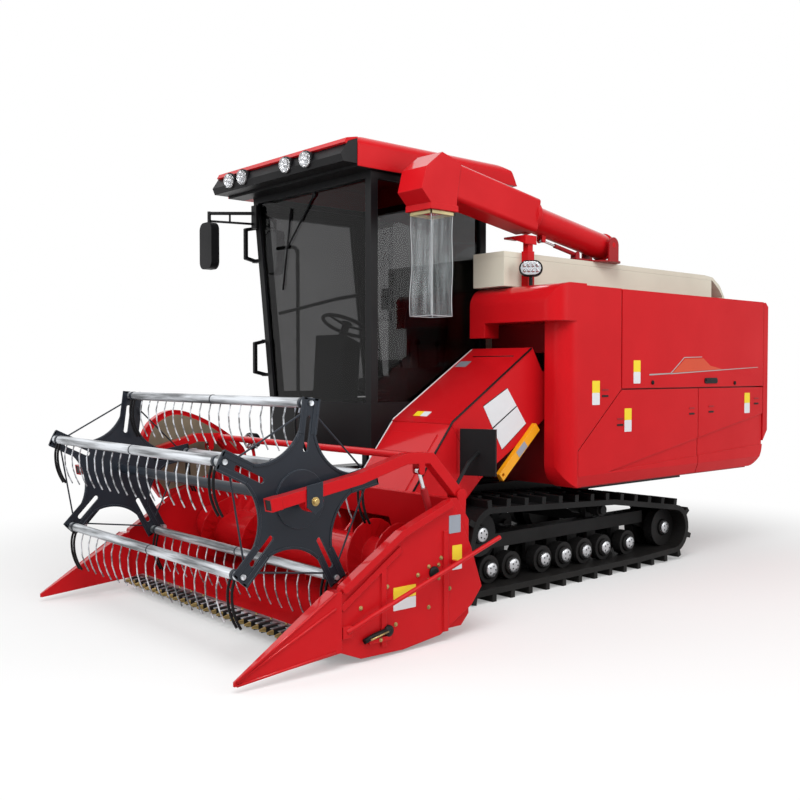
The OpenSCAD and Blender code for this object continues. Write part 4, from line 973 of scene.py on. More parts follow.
@dataclass
class Knife:
    """Bright knife sections on their bar, and pointed guards with brass tips."""

    pitch: float = 0.0762
    guard_steps: tuple[Triple, ...] = (
        (0.045, 0.0225, 0.020), (0.09, 0.017, 0.0195), (0.14, 0.0095, 0.015), (0.178, 0.003, 0.006))
    guard_middle: float = 0.076
    guard_section: Pairs = (
        (1, 0.5), (0.6, 1), (-0.6, 1), (-1, 0.5), (-1, -0.5), (-0.6, -1), (0.6, -1), (1, -0.5))
    blade: Pairs = ((-0.037, -0.03), (0.037, -0.03), (0.012, -0.125), (-0.012, -0.125))
    blade_seat: float = 0.0006
    blade_depth: float = 0.003
    bar_inset: float = 0.01
    bar_run: Pair = (-0.066, -0.006)
    bar_levels: Pair = (0.0032, 0.011)
    bolt_run: float = -0.024
    bolt_seat: float = 0.0112
    bolt_radius: float = 0.007

    def ring(self, x: float, y: float, half: float, rise: float) -> list[Vector]:
        """Eight points around a guard finger."""
        return [Vector((x + half * u, y, self.guard_middle + rise * v)) for u, v in self.guard_section]

    def build(self) -> None:
        """Builds the knife along the cutter bar."""
        low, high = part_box("cutter_bar")
        count = int((high.x - low.x) / self.pitch)
        left = (low.x + high.x - count * self.pitch) / 2
        level = high.z + self.blade_seat
        shape = Shape()
        for i in range(count):
            x = left + (i + 0.5) * self.pitch
            rings = [self.ring(x, high.y - back, half, rise) for back, half, rise in self.guard_steps]
            shape.loft(rings[:3], 0, False)
            shape.loft(rings[2:], 1, False)
        for i in range(count + 1):
            x = left + i * self.pitch
            corners = [Vector((x + dx, high.y + dy, level)) for dx, dy in self.blade]
            shape.slab(corners, Axis.UP.vector() * self.blade_depth, 2)
        (front, rear), (bottom, top) = self.bar_run, self.bar_levels
        shape.block(Vector((low.x + self.bar_inset, high.y + front, level + bottom)),
                    Vector((high.x - self.bar_inset, high.y + rear, level + top)), 2)
        for i in range(1, count, 2):
            at = Vector((left + i * self.pitch, high.y + self.bolt_run, level + self.bolt_seat))
            shape.bolt(at, Axis.UP.vector(), self.bolt_radius, 1)
        shape.piece("knife", Body.HEADER, (BLACK, BRASS, ZINC))


@dataclass
class RollerCaps:
    """Hub caps over the axle ends of the track rollers."""

    wheels: Pairs = (
        (-0.82, 0.185), (-0.60, 0.185), (-0.38, 0.185), (-0.055, 0.185), (0.175, 0.185), (0.41, 0.185),
        (0.64, 0.185), (0.94, 0.185), (1.41, 0.255), (-0.69, 0.43))
    axle_out: float = 0.0245
    flange: Pairs = ((0.066, 0.0), (0.062, 0.014), (0.056, 0.018))
    cap_seat: float = 0.0185
    cap: Pairs = ((0.05, 0.0), (0.05, 0.009), (0.042, 0.015), (0.014, 0.017))
    bolt_seat: float = 0.0325
    bolt_circle: float = 0.026
    bolt: Pairs = ((0.006, 0.0), (0.006, 0.004))

    def build(self) -> None:
        """Builds the caps of both sides."""
        shape = Shape()
        for node, axis in (("rollers_left", Axis.LEFT), ("rollers_right", Axis.RIGHT)):
            low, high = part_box(node)
            out = axis.vector()
            face = (high.x if axis is Axis.LEFT else low.x) - out.x * self.axle_out
            for y, z in self.wheels:
                at = LAYOUT.at(0.0, y, z)
                at.x = face
                shape.turned(at, out, self.flange, 24, 0)
                shape.turned(at + out * self.cap_seat, out, self.cap, 24, 1)
                for k in range(5):
                    turn = math.tau * k / 5
                    spot = at + self.bolt_circle * Vector((0.0, math.cos(turn), math.sin(turn)))
                    shape.turned(spot + out * self.bolt_seat, out, self.bolt, 6, 0, False)
        shape.piece("roller_caps", Body.CHASSIS, (IRON, STEEL))


@dataclass
class ReelFittings:
    """Rims and pressed arms of the end stars, clamps and ends of the arms, fittings of the tine bars."""

    middle: float = 0.14
    centre: Pair = (-2.42, 0.855)
    star_half: float = 1.03
    star_face: float = 0.006
    spokes: int = 5
    spoke_step_deg: float = 72.0
    spoke_angle_deg: float = 10.0
    gap_at: float = 0.53
    rim: Pair = (0.278, 0.289)
    rim_rise: float = 0.004
    rim_sweep_deg: int = 33
    rim_step_deg: int = 6
    plate_seat: float = 0.0002
    plate_strips: tuple[tuple[float, float, float, float, float], ...] = (
        (0.333, 0.516, 0.022, 0.046, 0.003), (0.333, 0.516, -0.046, -0.022, 0.003),
        (0.333, 0.516, 0.046, 0.056, 0.006), (0.333, 0.516, -0.056, -0.046, 0.006),
        (0.507, 0.516, -0.046, 0.046, 0.003))
    arm_face: float = 1.1603
    arm_half: float = 1.13
    arm_end: Pair = (-2.64, 0.86)
    arm_run: Pair = (-0.987, -0.161)
    arm_rings: Pairs = ((0.0322, -0.03), (0.0322, 0.036), (0.0265, 0.036), (0.0265, 0.032))
    # Size and place of the black sheet of painted shade just inside each arm's open end
    arm_shade_sheet: Pair = (0.0262, 0.0322)
    shade_sheet_depth: float = 0.0006
    clamp: Pairs = ((-2.468, 0.936), (-2.372, 0.951), (-2.372, 0.828), (-2.42, 0.792), (-2.468, 0.828))
    clamp_depth: float = 0.008
    clamp_bolt_seat: float = 0.0083
    clamp_bolt_radius: float = 0.017
    bar_reach: float = 0.49
    collars: Pairs = ((0.06, 0.01), (-0.985, 0.03), (0.955, 0.03))
    collar_radius: float = 0.0285
    tine_offsets: tuple[float, ...] = (-0.975, -0.935, 0.935, 0.975)
    tine_radius: float = 0.0075
    tine_reach: float = 0.272
    tine_bow: Pairs = ((-0.008, 0.06), (-0.024, 0.3), (-0.020, 0.58), (0.0, 0.82), (0.026, 1.0))

    def spoke(self, index: float) -> tuple[Vector, Vector]:
        """Directions along and across a spoke of the stars, numbered from zero."""
        turn = math.radians(self.spoke_angle_deg + self.spoke_step_deg * index)
        return Vector((0.0, math.cos(turn), math.sin(turn))), Vector((0.0, -math.sin(turn), math.cos(turn)))

    def hub(self, side: int, out: float) -> Vector:
        """A point on the reel's axis, out from a star's middle plane."""
        return LAYOUT.at(self.middle + side * self.star_half + out, *self.centre)

    def rims(self) -> None:
        """Raised rims along the round gaps of both stars, on both faces."""
        shape = Shape()
        sweeps = range(-self.rim_sweep_deg, self.rim_sweep_deg + 1, self.rim_step_deg)
        for side, face in ((-1, -1), (-1, 1), (1, -1), (1, 1)):
            hub = self.hub(side, face * self.star_face)
            rise = Axis.LEFT.vector() * face * self.rim_rise
            for i in range(self.spokes):
                along, across = self.spoke(i + 0.5)
                rings = []
                for turn in (math.radians(step) for step in sweeps):
                    aside, back = math.sin(turn), math.cos(turn)
                    near, far = (hub + along * (self.gap_at - r * back) + across * r * aside
                                 for r in self.rim)
                    rings.append([near, far, far + rise, near + rise])
                shape.loft(rings, 0, False)
        shape.piece("star_rims", Body.REEL, (SLATE,))

    def arm_plates(self) -> None:
        """Wide pressed arms with raised edges on the left face of both stars."""
        shape = Shape()
        for side in (-1, 1):
            hub = self.hub(side, self.star_face + self.plate_seat)
            for i in range(self.spokes):
                along, across = self.spoke(i)
                for near, far, first, last, rise in self.plate_strips:
                    corners = ((near, first), (far, first), (far, last), (near, last))
                    shape.slab([hub + along * a + across * n for a, n in corners], Axis.LEFT.vector() * rise)
        shape.piece("arm_plates", Body.REEL, (SLATE,))

    def arm_square(self, end: Vector, half: float, past: float) -> list[Vector]:
        """A square across a reel arm.

        Args:
            end: the arm's end.
            half: half of the square's side.
            past: how far it lies past the end.

        Returns:
            The four corners.
        """
        left, along = Axis.LEFT.vector(), Vector((0.0, *self.arm_run))
        up = along.cross(left)
        corners = ((1, 1), (-1, 1), (-1, -1), (1, -1))
        return [end + along * past + half * (u * left + v * up) for u, v in corners]

    def arm_ends(self) -> None:
        """Clamp plates with their bolts over the shaft, and the square open ends of the arms, each with a black
        sheet just inside as painted shade in the hollow.
        """
        shape = Shape()
        for side, axis in ((1, Axis.LEFT), (-1, Axis.RIGHT)):
            out = axis.vector()
            x = self.middle + side * self.arm_face
            shape.slab(LAYOUT.outline(x, self.clamp), out * self.clamp_depth, 0)
            bolt = LAYOUT.at(x, *self.centre) + out * self.clamp_bolt_seat
            shape.bolt(bolt, out, self.clamp_bolt_radius, 1)
            end = LAYOUT.at(self.middle + side * self.arm_half, *self.arm_end)
            shape.loft([self.arm_square(end, half, past) for half, past in self.arm_rings], 2, False)
            # A black sheet just inside the open end paints the shade in the hollow arm
            shade_sheet = self.arm_square(end, *self.arm_shade_sheet)
            shape.slab(shade_sheet, Vector((0.0, *self.arm_run)) * self.shade_sheet_depth, 3)
        shape.piece("arm_ends", Body.REEL_FRAME, (SLATE, BRASS, RED, BLACK))

    def bar(self, index: int, body: Body) -> None:
        """The seam, end clamps and double end fingers of one tine bar.

        Args:
            index: number of the bar, from zero.
            body: the body of that bar.
        """
        axle = LAYOUT.at(self.middle, *self.centre) + self.spoke(index)[0] * self.bar_reach
        left = Axis.LEFT.vector()
        shape = Shape()
        for offset, width in self.collars:
            collar = [(self.collar_radius, 0.0), (self.collar_radius, width)]
            shape.turned(axle + left * offset, left, collar, 24, 0)
        for offset in self.tine_offsets:
            path = [axle + Vector((offset, dy, -share * self.tine_reach)) for dy, share in self.tine_bow]
            shape.tube(smooth_path(path, 4), self.tine_radius, 8, 1)
        shape.piece(f"bar_fittings_{index + 1}", body, (SLATE, BLACK))

    def build(self) -> None:
        """Builds them all."""
        self.rims()
        self.arm_plates()
        self.arm_ends()
        for index, body in enumerate((Body.BAR_1, Body.BAR_2, Body.BAR_3, Body.BAR_4, Body.BAR_5)):
            self.bar(index, body)


@dataclass
class HeaderPlates:
    """Blank plates of the feeder, the header's left side and the safety prop, and the lower duct's edges."""

    proud: float = 0.0012
    seat: float = 0.0003
    corner: float = 0.004
    feeder_side: float = 0.75
    pane: Pairs = ((-0.642, 1.275), (-0.409, 1.392), (-0.214, 1.141), (-0.456, 0.973))
    pane_depth: float = 0.0008
    field_shares: Pairs = ((0.015, 0.485), (0.515, 0.985))
    field_seat: float = 0.0009
    field_depth: float = 0.001
    sheet_side: float = 1.345
    sheet_plates: tuple[tuple[float, float, Pair, int], ...] = (
        (-1.86, 0.325, (0.16, 0.062), 0), (-1.86, 0.262, (0.16, 0.06), 1), (-1.468, 0.485, (0.075, 0.09), 0),
        (-1.468, 0.415, (0.075, 0.045), 1), (-1.486, 0.65, (0.09, 0.1), 3))
    duct_foot: Pair = (-0.92, 1.18)
    duct_run: Pair = (0.8437, 0.5369)
    duct_mouth: Pair = (-1.345, 0.655)
    duct_length: float = 0.9
    duct_edges: tuple[tuple[float, float, int], ...] = ((0.75, 0.007, 2), (0.17, 0.005, 1))
    seam: Pair = (0.27, 0.66)
    seam_up: float = 0.80
    seam_radius: float = 0.004
    duct_plates: tuple[tuple[float, float, Pair, int], ...] = (
        (0.36, 0.07, (0.07, 0.055), 0), (0.43, 0.07, (0.07, 0.055), 1), (0.25, 0.70, (0.11, 0.075), 3))
    prop_side: float = 0.786
    prop_place: Pair = (-0.297, 0.971)
    prop_run: Pair = (0.746, 0.666)
    prop_size: Pair = (0.11, 0.05)
    cab_place: Triple = (-0.60, -1.1153, 1.24)
    cab_size: Pair = (0.27, 0.085)

    def panes(self, shape: Shape) -> None:
        """The large white plate with two fields on the feeder's left side.

        Args:
            shape: the mesh that gets it.
        """
        a, b, c, d = LAYOUT.outline(self.feeder_side + self.seat, self.pane)
        out = Axis.LEFT.vector()
        shape.slab([a, b, c, d], out * self.pane_depth, 2)
        for first, last in self.field_shares:
            corners = [a.lerp(d, first), b.lerp(c, first), b.lerp(c, last), a.lerp(d, last)]
            shape.slab([p + out * self.field_seat for p in corners], out * self.field_depth, 1)

    def duct(self, shape: Shape) -> None:
        """The edges, the seam and the plates of the lower duct.

        Args:
            shape: the mesh that gets them.
        """
        left, slope = Axis.LEFT.vector(), Vector((0.0, *self.duct_run))
        for x, radius, slot in self.duct_edges:
            foot = LAYOUT.at(x, *self.duct_foot)
            edge = [LAYOUT.at(x, *self.duct_mouth), foot, foot + slope * self.duct_length]
            shape.tube(edge, radius, 8, slot)
        seam = [LAYOUT.at(x, *self.duct_foot) + slope * self.seam_up for x in self.seam]
        shape.tube(seam, self.seam_radius, 8, 2)
        for x, up, size, slot in self.duct_plates:
            at = LAYOUT.at(x, *self.duct_foot) + slope * up + left.cross(slope) * self.seat
            shape.plate(at, left, slope, size, self.proud, self.corner, slot)

    def build(self) -> None:
        """Builds the plates."""
        left, rear, up = Axis.LEFT.vector(), Axis.REAR.vector(), Axis.UP.vector()
        shape = Shape()
        self.panes(shape)
        for y, z, size, slot in self.sheet_plates:
            at = LAYOUT.at(self.sheet_side + self.seat, y, z)
            shape.plate(at, rear, up, size, self.proud, self.corner, slot)
        self.duct(shape)
        run = Vector((0.0, *self.prop_run))
        at = LAYOUT.at(self.prop_side + self.seat, *self.prop_place)
        shape.plate(at, run, left.cross(run), self.prop_size, self.proud, 0.003, 3)
        shape.piece("header_plates", Body.HEADER, (LABEL_YELLOW, LABEL_WHITE, PLASTIC, LABEL_GREY))
        shape = Shape()
        shape.plate(LAYOUT.at(*self.cab_place), left, up, self.cab_size, 0.0014, 0.006)
        shape.piece("cab_front_plate", Body.CHASSIS, (LABEL_GREY,))


@dataclass
class HeaderTrim:
    """Rims on the dividers, and bolts, a bearing and the knife's drive on the left side sheet.

    Places of the drive are given as distance out from the sheet, place along the machine and height.
    """

    sheet_side: float = 1.3453
    header_middle: float = 0.14
    header_half: float = 1.19
    rim_ends: tuple[tuple[float, float, Pair], ...] = (
        (-2.34, 0.038, (0.085, 0.395)), (-2.895, 0.0065, (0.036, 0.056)))
    rim_shares: tuple[float, ...] = (0.03, 0.74, 0.99)
    rim_radius: float = 0.0075
    bolts: Pairs = (
        (-1.93, 0.53), (-1.983, 0.37), (-1.7645, 0.4016), (-1.685, 0.214), (-1.592, 0.473), (-1.526, 0.294),
        (-1.924, 0.16), (-2.162, 0.285))
    bolt_radius: float = 0.009
    bearing: Pair = (-1.647, 0.40)
    bearing_cap: Pairs = ((0.034, 0.0), (0.034, 0.008), (0.02, 0.014))
    bearing_circle: float = 0.052
    bearing_bolt: float = 0.0085
    drive_block: tuple[Triple, Triple] = ((0.0, -2.12, 0.092), (0.022, -1.97, 0.116))
    drive_arm: tuple[Triple, ...] = ((0.016, -2.15, 0.112), (0.016, -2.08, 0.132), (0.016, -1.985, 0.146))
    drive_arm_radius: float = 0.014
    drive_hub: Pair = (-1.985, 0.14)
    drive_hub_cap: Pairs = ((0.03, 0.0), (0.03, 0.022), (0.014, 0.03))
    drive_rod: tuple[Triple, ...] = ((0.032, -2.12, 0.118), (0.032, -2.0, 0.142))
    drive_rod_radius: float = 0.005
    drive_bolt: Triple = (0.022, -2.045, 0.104)
    drive_bolt_radius: float = 0.008

    def on_sheet(self, *places: Triple) -> list[Vector]:
        """Points of the frame for some places on the left side sheet."""
        return [LAYOUT.at(self.sheet_side + out, y, z) for out, y, z in places]

    def rims(self) -> None:
        """The folded rims along both dividers' outer faces."""
        shape = Shape()
        for side in (-1, 1):
            for share in self.rim_shares:
                ends = []
                for y, half, (low, high) in self.rim_ends:
                    x = self.header_middle + side * (self.header_half + half)
                    ends.append(LAYOUT.at(x, y, low + (high - low) * share))
                shape.tube(ends, self.rim_radius, 8)
        shape.piece("divider_rims", Body.HEADER, (RED,))

    def fittings(self) -> None:
        """Bolts, the screw's bearing and the knife's drive on the left side sheet."""
        out = Axis.LEFT.vector()
        shape = Shape()
        for at in LAYOUT.outline(self.sheet_side, self.bolts):
            shape.bolt(at, out, self.bolt_radius, 1)
        middle = LAYOUT.at(self.sheet_side, *self.bearing)
        shape.turned(middle, out, self.bearing_cap, 24, 0)
        for turn in range(4):
            angle = math.radians(45 + 90 * turn)
            spot = middle + Vector((0.0, math.cos(angle), math.sin(angle))) * self.bearing_circle
            shape.bolt(spot, out, self.bearing_bolt, 1)
        shape.block(*self.on_sheet(*self.drive_block), 2)
        shape.tube(self.on_sheet(*self.drive_arm), self.drive_arm_radius, 12, 0)
        shape.turned(LAYOUT.at(self.sheet_side, *self.drive_hub), out, self.drive_hub_cap, 20, 0)
        shape.tube(self.on_sheet(*self.drive_rod), self.drive_rod_radius, 8, 1)
        shape.bolt(*self.on_sheet(self.drive_bolt), out, self.drive_bolt_radius, 1)
        shape.piece("side_fittings", Body.HEADER, (PLASTIC, BRASS, RED))

    def build(self) -> None:
        """Builds the rims and the fittings."""
        self.rims()
        self.fittings()


@dataclass
class RoofTrim:
    """The red brow over the roof's visor and the dark liner under the roof's overhang."""

    right_end: float = -1.425
    left_end: float = 0.186
    brow: Pairs = (
        (-1.2495, 3.0402), (-1.2495, 3.051), (-1.34, 3.032), (-1.359, 3.0), (-1.343, 2.992),
        (-1.3304, 3.0105))
    cab_wall: float = 0.161
    front: float = -1.25
    glass: float = -1.117
    rear: float = 0.2
    under: float = 2.8595
    liner: float = 0.003
    lip_rise: float = 0.016
    lip_gap: float = 0.0003

    def build(self) -> None:
        """Builds the brow and the liner."""
        shape = Shape()
        across = Axis.LEFT.vector() * (self.left_end - self.right_end)
        shape.slab(LAYOUT.outline(self.right_end, self.brow), across)
        shape.piece("roof_brow", Body.CHASSIS, (RED,))
        shape = Shape()
        lip = (self.right_end, self.front - self.liner, self.front - self.lip_gap, self.under + self.lip_rise)
        for right, front, rear, top in (
                (self.right_end, self.front, self.glass, self.under),
                (self.cab_wall, self.glass, self.rear, self.under), lip):
            shape.block(LAYOUT.at(right, front, self.under - self.liner), LAYOUT.at(self.left_end, rear, top))
        shape.piece("roof_liner", Body.CHASSIS, (PLASTIC,))


@dataclass
class DriveGuard:
    """The arched cover of the reel drive at the header's right end.

    Its rings are shares of the outline's size and of the cover's width.
    """

    inner: float = -1.0885
    width: float = 0.055
    outline: Pairs = (
        (-2.02, 0.60), (-2.15, 0.80), (-2.17, 1.0), (-2.11, 1.14), (-1.96, 1.225), (-1.78, 1.20),
        (-1.55, 1.09), (-1.34, 0.93), (-1.33, 0.78), (-1.50, 0.70))
    rings: Pairs = ((0.9, 0.12), (1.0, 0.0), (1.0, 0.9), (0.9, 1.0))
    panel: Pair = (0.86, 0.1)
    panel_depth: float = 0.01

    def build(self) -> None:
        """Builds the cover with its rim."""
        path = smooth_path(LAYOUT.outline(self.inner, self.outline), 4)
        middle = sum(path, Vector()) / len(path)
        across = Axis.RIGHT.vector() * self.width

        def ring(size: float, out: float) -> list[Vector]:
            """The outline at a share of its size and of the width."""
            return [middle + (p - middle) * size + across * out for p in path]

        shape = Shape()
        shape.loft([ring(*step) for step in self.rings], 0, False)
        shape.slab(ring(*self.panel), across * self.panel_depth, 1)
        shape.piece("drive_guard", Body.HEADER, (RED, DUSTY))


@dataclass
class CabSeat:
    """The driver's seat: two padded cushions on a bellows.

    Heights are above the cab's floor.
    """

    floor: float = 1.01
    middle: float = -0.45
    cushion_place: Pair = (-0.36, 0.345)
    cushion_size: Pair = (0.47, 0.46)
    cushion_depth: float = 0.105
    back_place: Pair = (-0.105, 0.76)
    back_size: Pair = (0.45, 0.58)
    back_depth: float = 0.09
    back_lean: Triple = (0.0, 0.11, 0.99)
    pillow_rings: Pairs = (
        (0.0, 0.02), (0.1, 0.004), (0.3, 0.0), (0.7, 0.0), (0.88, 0.006), (0.97, 0.022), (1.03, 0.055),
        (1.08, 0.1), (1.1, 0.16))
    pillow_sides: int = 40
    pillow_power: float = 0.35
    pillow_pull: float = 0.018
    bellows_place: float = -0.34
    bellows_count: int = 6
    bellows: Pairs = ((0.19, 0.0), (0.215, 0.027), (0.19, 0.055))
    pan_height: float = 0.331
    pan_size: Pair = (0.46, 0.42)
    pan_depth: float = 0.012
    pan_corner: float = 0.03

    def at(self, y: float, z: float) -> Vector:
        """A point in the seat's middle plane."""
        return LAYOUT.at(self.middle, y, self.floor + z)

    def pillow(self, middle: Vector, right: Vector, up: Vector, size: Pair, depth: float) -> Shape:
        """A crowned cushion with soft edges.

        Args:
            middle: middle of the cushion's back.
            right: its direction of width.
            up: its direction of height.
            size: width and height.
            depth: thickness along right x up, without the crown.

        Returns:
            The mesh.
        """
        out = right.cross(up)
        rings = []
        for share, inset in self.pillow_rings:
            ring = []
            for k in range(self.pillow_sides):
                turn = math.tau * k / self.pillow_sides
                pull = 1 - self.pillow_pull * math.cos(4 * turn)
                wide, tall = (math.copysign(abs(s) ** self.pillow_power, s) * (side / 2 - inset) * pull
                              for s, side in zip((math.cos(turn), math.sin(turn)), size))
                ring.append(middle + right * wide + up * tall + out * depth * share)
            rings.append(ring)
        shape = Shape()
        shape.loft(rings)
        return shape

    def build(self) -> None:
        """Builds the seat in the place of its plain solid."""
        left, rear, up = Axis.LEFT.vector(), Axis.REAR.vector(), Axis.UP.vector()
        base = self.pillow(self.at(*self.cushion_place), left, rear, self.cushion_size, self.cushion_depth)
        cushion = base.piece("seat_cushion", Body.CHASSIS, (SEAT_VINYL,))
        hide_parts("seat")
        lean = Vector(self.back_lean).normalized()
        right = Axis.RIGHT.vector()
        back = self.pillow(self.at(*self.back_place), right, lean, self.back_size, self.back_depth)
        back.piece("seat_backrest", Body.CHASSIS, (SEAT_VINYL,))
        shape = Shape()
        for k in range(self.bellows_count):
            shape.turned(self.at(self.bellows_place, self.bellows[-1][1] * k), up, self.bellows, 28)
        pan = self.at(self.bellows_place, self.pan_height)
        shape.plate(pan, left, rear, self.pan_size, self.pan_depth, self.pan_corner)
        shape.piece("seat_pedestal", Body.CHASSIS, (PLASTIC,))


@dataclass
class CabFittings:
    """Steering wheel, levers, screen, inner rails, door seals, wiper, and the mirror's bracket and glass."""

    wheel_hub: Triple = (-0.45, -0.85, 1.84)
    wheel_axis: Triple = (0.0, 0.42, 0.91)
    wheel_radius: float = 0.18
    wheel_sides: int = 40
    wheel_grip: float = 0.014
    wheel_spoke: float = 0.009
    column_drop: float = 0.13
    column: Pairs = ((0.03, 0.0), (0.03, 0.12), (0.045, 0.15), (0.03, 0.16))
    lever_feet: tuple[Triple, ...] = ((-0.035, -0.58, 1.531), (-0.035, -0.50, 1.531), (-0.035, -0.30, 1.531))
    lever_run: Triple = (0.0, -0.02, 0.16)
    lever_radius: float = 0.008
    knob: Pairs = ((0.01, 0.0), (0.024, 0.015), (0.024, 0.035), (0.012, 0.05))
    screen: tuple[tuple[Triple, Pair, float, float], ...] = (
        ((-0.02, -0.79, 2.02), (0.2, 0.15), 0.03, 0.015), ((-0.02, -0.759, 2.02), (0.18, 0.13), 0.002, 0.01))
    screen_stem: tuple[Triple, ...] = ((-0.02, -0.80, 1.97), (0.02, -0.72, 1.531))
    screen_stem_radius: float = 0.012
    post: tuple[Triple, ...] = (
        (-1.05, -1.05, 2.45), (-0.84, -1.05, 2.44), (-0.79, -1.05, 2.40), (-0.78, -1.05, 2.3),
        (-0.78, -1.05, 1.30))
    post_radius: float = 0.014
    rail: tuple[Triple, ...] = ((-1.02, -1.05, 1.95), (-0.3, -1.05, 2.02), (0.09, -1.05, 2.04))
    rail_radius: float = 0.013
    seal_foot: Triple = (-1.065, 0.0, 1.29)
    seal_lean: Pair = (0.225, 1.57)
    seal_strips: tuple[tuple[Pair, Pair], ...] = (
        ((-1.07, -0.06), (1.48, 1.56)), ((-0.125, -0.055), (0.01, 1.56)))
    seal_inset: float = 0.024
    seal_depth: float = 0.008
    wiper_pivot: Triple = (-0.50, -1.104, 2.78)
    wiper_boss_back: float = 0.008
    wiper_boss: Pairs = ((0.02, 0.0), (0.018, 0.014))
    wiper_arm_end: Triple = (-0.85, -1.105, 2.42)
    wiper_arm_radius: float = 0.007
    wiper_blade: tuple[Triple, ...] = ((-0.79, -1.103, 2.72), (-0.90, -1.103, 2.12))
    wiper_blade_radius: float = 0.0075
    mirror_foot: Triple = (-1.242, -1.13, 2.735)
    mirror_stem: Triple = (-1.475, -1.40, 2.735)
    bracket_drop: float = 0.06
    bracket_foot: Triple = (0.035, 0.012, 0.09)
    bracket_bar: float = 0.009
    bracket_tie: float = 0.008
    tie_share: float = 0.55
    mirror_glass: Triple = (-1.475, -1.3647, 2.48)
    mirror_size: Pair = (0.155, 0.335)
    mirror_depth: float = 0.002
    mirror_corner: float = 0.05

    def controls(self) -> None:
        """Steering wheel, levers, screen and the rails behind the windscreen."""
        shape = Shape()
        hub = LAYOUT.at(*self.wheel_hub)
        axis = Vector(self.wheel_axis).normalized()
        across, up = Axis.LEFT.vector(), Axis.UP.vector()
        other = axis.cross(across)
        turns = [math.tau * k / self.wheel_sides for k in range(self.wheel_sides + 1)]
        rim = [hub + self.wheel_radius * (math.cos(a) * across + math.sin(a) * other) for a in turns]
        shape.tube(rim, self.wheel_grip, 8)
        for k in (4, 17, 30):
            shape.tube([hub, rim[k]], self.wheel_spoke, 8)
        shape.turned(hub - axis * self.column_drop, axis, self.column, 20)
        for foot in LAYOUT.line(self.lever_feet):
            tip = foot + Vector(self.lever_run)
            shape.tube([foot, tip], self.lever_radius, 8)
            shape.turned(tip, up, self.knob, 16)
        for slot, (place, size, depth, corner) in enumerate(self.screen):
            shape.plate(LAYOUT.at(*place), Axis.RIGHT.vector(), up, size, depth, corner, slot)
        shape.tube(LAYOUT.line(self.screen_stem), self.screen_stem_radius, 8)
        shape.tube(smooth_path(LAYOUT.line(self.post)), self.post_radius, 8)
        shape.tube(LAYOUT.line(self.rail), self.rail_radius, 8)
        shape.piece("cab_controls", Body.CHASSIS, (PLASTIC, DARK_GLASS))

    def door_seals(self) -> None:
        """Dark seals on the cab frame behind the upper and rear gaps of the door."""
        lean = math.atan2(*self.seal_lean)
        across = Vector((math.cos(lean), 0.0, math.sin(lean)))
        rise = Vector((-math.sin(lean), 0.0, math.cos(lean)))
        foot = LAYOUT.at(*self.seal_foot) + across * self.seal_inset
        shape = Shape()
        for (front, rear), (low, high) in self.seal_strips:
            corners = ((front, low), (rear, low), (rear, high), (front, high))
            outline = [foot + Axis.REAR.vector() * y + rise * z for y, z in corners]
            shape.slab(outline, across * self.seal_depth)
        shape.piece("door_seals", Body.CHASSIS, (PLASTIC,))

    def wiper(self) -> None:
        """The wiper before the windscreen."""
        shape = Shape()
        pivot = LAYOUT.at(*self.wiper_pivot)
        boss = pivot + Axis.REAR.vector() * self.wiper_boss_back
        shape.turned(boss, Axis.FRONT.vector(), self.wiper_boss, 16)
        shape.tube([pivot, LAYOUT.at(*self.wiper_arm_end)], self.wiper_arm_radius, 8)
        shape.tube(LAYOUT.line(self.wiper_blade), self.wiper_blade_radius, 8)
        shape.piece("wiper", Body.CHASSIS, (PLASTIC,))

    def mirror_bracket(self) -> None:
        """The lower bar, the tie and the foot of the cab's mirror arm."""
        foot = LAYOUT.at(*self.mirror_foot)
        stem = LAYOUT.at(*self.mirror_stem)
        drop = Axis.UP.vector() * -self.bracket_drop
        shape = Shape()
        shape.tube([foot + drop * 1.4, stem + drop], self.bracket_bar, 10)
        middle = foot.lerp(stem, self.tie_share)
        shape.tube([middle, middle + drop * 1.2], self.bracket_tie, 10)
        reach = Vector(self.bracket_foot)
        shape.block(foot - reach + drop * 0.5, foot + reach + drop * 0.5)
        shape.piece("mirror_bracket", Body.CHASSIS, (PLASTIC,))

    def mirror_face(self) -> None:
        """The glass on the rear face of the cab's mirror."""
        shape = Shape()
        shape.plate(LAYOUT.at(*self.mirror_glass), Axis.RIGHT.vector(), Axis.UP.vector(), self.mirror_size,
                    self.mirror_depth, self.mirror_corner)
        shape.piece("mirror_face", Body.CHASSIS, (MIRROR,))

    def build(self) -> None:
        """Builds them all."""
        self.controls()
        self.door_seals()
        self.mirror_bracket()
        self.wiper()
        self.mirror_face()


